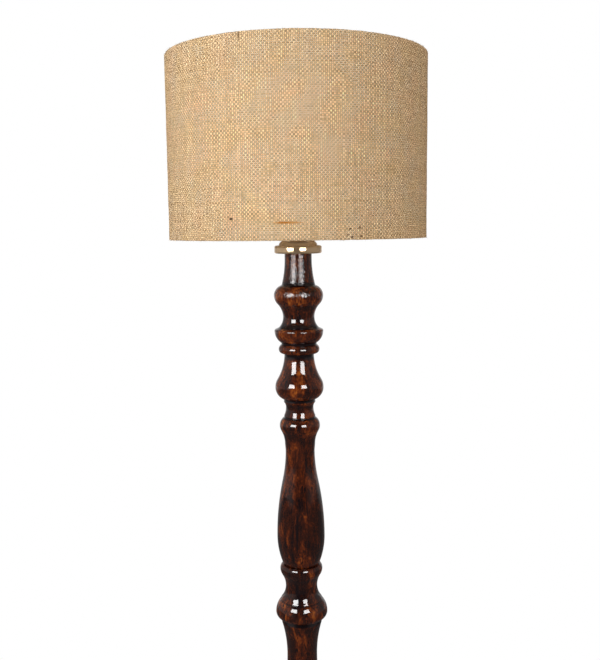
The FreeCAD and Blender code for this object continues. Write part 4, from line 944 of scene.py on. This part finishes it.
# %% One screw for the base's cover
COVER_LOW, COVER_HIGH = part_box("base_cover")
SCREW_RING = COVER_HIGH.x - 0.004
SCREW_RADIUS, SCREW_HEAD, SCREW_ROUND = 0.003, 0.0016, 0.0008
CROSS_WALL, CROSS_DEPTH, CROSS_DRAW = 0.0006, 0.0009, 0.45
COVER_SCREWS = 6
SCREW_FACE = COVER_LOW.z - SCREW_HEAD
bpy.ops.mesh.primitive_cylinder_add(vertices=24, radius=SCREW_RADIUS, depth=SCREW_HEAD,
                                    location=(SCREW_RING, 0, COVER_LOW.z - SCREW_HEAD / 2))
screw = bpy.context.object
bpy.ops.object.transform_apply(location=True)
open_mesh(screw)
choose("EDGE", lambda edge: all(v.co.z < SCREW_FACE + 1e-5 for v in edge.verts))
bpy.ops.mesh.bevel(offset=SCREW_ROUND, segments=3, affect="EDGES")
choose("FACE", lambda face: face.normal.z < -0.99
       and face.calc_center_median().z < SCREW_FACE + SCREW_HEAD / 2)
bpy.ops.mesh.inset(thickness=CROSS_WALL)
bpy.ops.mesh.extrude_region_move(TRANSFORM_OT_translate={"value": (0, 0, CROSS_DEPTH)})


def between_arms(point):
    """Whether a point of the recess lies between the arms of its cross."""
    quarter = math.degrees(math.atan2(point.co.y, point.co.x - SCREW_RING)) % 90
    inside = math.hypot(point.co.x - SCREW_RING, point.co.y) < SCREW_RADIUS - 0.0012
    return inside and 10 < quarter < 80


choose("VERT", between_arms)
bpy.ops.transform.resize(value=(CROSS_DRAW, CROSS_DRAW, 1), center_override=(SCREW_RING, 0, COVER_LOW.z))
bpy.ops.mesh.select_all(action="SELECT")
bpy.ops.mesh.normals_make_consistent(inside=False)
close_mesh()
bpy.ops.object.shade_smooth_by_angle(angle=math.radians(35))

# %% Copy the screw round the cover
for number in range(COVER_SCREWS):
    copy = screw.copy()
    copy.data = screw.data.copy()
    copy.name = copy.data.name = f"cover_screw_{number + 1}"
    bpy.context.scene.collection.objects.link(copy)
    copy.data.transform(Matrix.Rotation(2 * math.pi * (number + 0.5) / COVER_SCREWS, 4, "Z"))
    hand_over(copy, "lamp", "zinc_steel", zinc)
bpy.data.objects.remove(screw)
print(COVER_SCREWS, "cover screws")

# %% [markdown]
# ## The studio
# A plain pale floor and a white surround. Two tall soft boxes stand in front of the lamp, one well to the
# left and one nearer the camera on the right, and draw two bright strips down the lacquer. They show in
# gloss alone. Two more near them, and a weaker one behind the lamp, light what is matt, so that shine and
# shade are set apart. The surround is white wherever the camera looks past the lamp, while the lacquer
# mirrors a white wall behind the lamp, grey ones beside it and a dark room in front.

# %% Floor
WHITE = (1, 1, 1, 1)
SHADOW_FADE, SHADOW_GLOW = (0.35, 0.95), 0.45
MIRRORED_DARK, MIRRORED_WHITE = 0.12, 0.85
bpy.ops.mesh.primitive_circle_add(vertices=96, radius=9, fill_type="NGON")
floor = bpy.context.object
floor.name = "studio_floor"
pale, tree, shader = new_finish("pale_floor", Roughness=0.8)
shader.inputs["Base Color"].default_value = (0.86, 0.86, 0.86, 1)
path = put(tree, "ShaderNodeLightPath").outputs
place = put(tree, "ShaderNodeTexCoord").outputs["Object"]
far = fade(tree, vectors(tree, "LENGTH", place, result="Value"), *SHADOW_FADE)
far = sums(tree, "MULTIPLY_ADD", far, 1 - SHADOW_GLOW, SHADOW_GLOW)
seen = sums(tree, "MULTIPLY", path["Is Camera Ray"], far)
behind = fade(tree, apart(tree, place)[1], 1.5, 6.0)
behind = sums(tree, "MULTIPLY_ADD", behind, MIRRORED_WHITE, MIRRORED_DARK)
glossy = sums(tree, "MAXIMUM", path["Is Glossy Ray"], path["Is Transmission Ray"])
glow = put(tree, "ShaderNodeEmission", {"Color": WHITE, "Strength": 1.0}).outputs[0]
mirrored = put(tree, "ShaderNodeEmission", {"Color": WHITE, "Strength": behind}).outputs[0]
lit = put(tree, "ShaderNodeMixShader", {0: seen, 1: shader.outputs[0], 2: glow}).outputs[0]
lit = put(tree, "ShaderNodeMixShader", {0: glossy, 1: lit, 2: mirrored}).outputs[0]
tree.links.new(lit, tree.nodes["Material Output"].inputs["Surface"])
floor.data.materials.append(pale)
print("floor:", len(tree.nodes), "nodes")

# %% Surround
AMBIENT_TINT, AMBIENT = (1, 0.84, 0.68, 1), 0.28
REAR_WALL, ROOM = 0.85, 0.06
LEFT_WALL, RIGHT_WALL = 0.42, 0.25
world = bpy.data.worlds.new("surround")
bpy.context.scene.world = world
world.use_nodes = True
tree = world.node_tree
direction = apart(tree, put(tree, "ShaderNodeTexCoord").outputs["Generated"])
path = put(tree, "ShaderNodeLightPath").outputs
walls = sums(tree, "MULTIPLY_ADD", fade(tree, direction[1], 0.70, 0.97), REAR_WALL, ROOM)
left = fade(tree, direction[0], -0.45, -0.85, last=LEFT_WALL)
right = fade(tree, direction[0], 0.45, 0.85, last=RIGHT_WALL)
walls = sums(tree, "ADD", walls, sums(tree, "ADD", left, right))
ambient = put(tree, "ShaderNodeBackground", {"Color": AMBIENT_TINT, "Strength": AMBIENT}).outputs[0]
seen = put(tree, "ShaderNodeBackground", {"Color": WHITE, "Strength": 1.0}).outputs[0]
reflected = put(tree, "ShaderNodeBackground", {"Color": WHITE, "Strength": walls}).outputs[0]
glossy = sums(tree, "MAXIMUM", path["Is Glossy Ray"], path["Is Transmission Ray"])
shown = put(tree, "ShaderNodeMixShader", {0: glossy, 1: ambient, 2: reflected}).outputs[0]
shown = put(tree, "ShaderNodeMixShader", {0: path["Is Camera Ray"], 1: shown, 2: seen}).outputs[0]
tree.links.new(shown, tree.nodes["World Output"].inputs["Surface"])
print("surround:", len(tree.nodes), "nodes")

# %% Soft boxes
STRIP_PLACE = (1.33, 1.18, 1.80)
KEY_PLACE = (1.40, 0.9, 2.3)


def soft_box(name, azimuth, width, radiance, gloss):
    """An upright soft box that faces the column; it either shines in gloss or lights what is matt.

    Its place is a distance from the column, a lowest level and a highest one.
    """
    distance, low, high = STRIP_PLACE if gloss else KEY_PLACE
    light = bpy.data.lights.new(name, "AREA")
    light.shape = "RECTANGLE"
    light.size = width
    light.size_y = high - low
    light.energy = radiance * math.pi * width * (high - low)
    box = bpy.data.objects.new(name, light)
    bpy.context.scene.collection.objects.link(box)
    side = math.radians(azimuth)
    box.location = (distance * math.sin(side), -distance * math.cos(side), (low + high) / 2)
    box.rotation_euler = Vector((box.location.x, box.location.y, 0)).to_track_quat("Z", "Y").to_euler()
    box.visible_camera = False
    box.visible_glossy = gloss
    box.visible_diffuse = not gloss
    print(name, "at", [round(c, 3) for c in box.location])


soft_box("key_left", -45, 0.77, 3.4, gloss=False)
soft_box("key_right", 25, 0.66, 2.0, gloss=False)
soft_box("fill_back", 175, 1.20, 1.6, gloss=False)
soft_box("strip_left", -38.5, 0.70, 24, gloss=True)
soft_box("strip_right", 23, 0.62, 22, gloss=True)
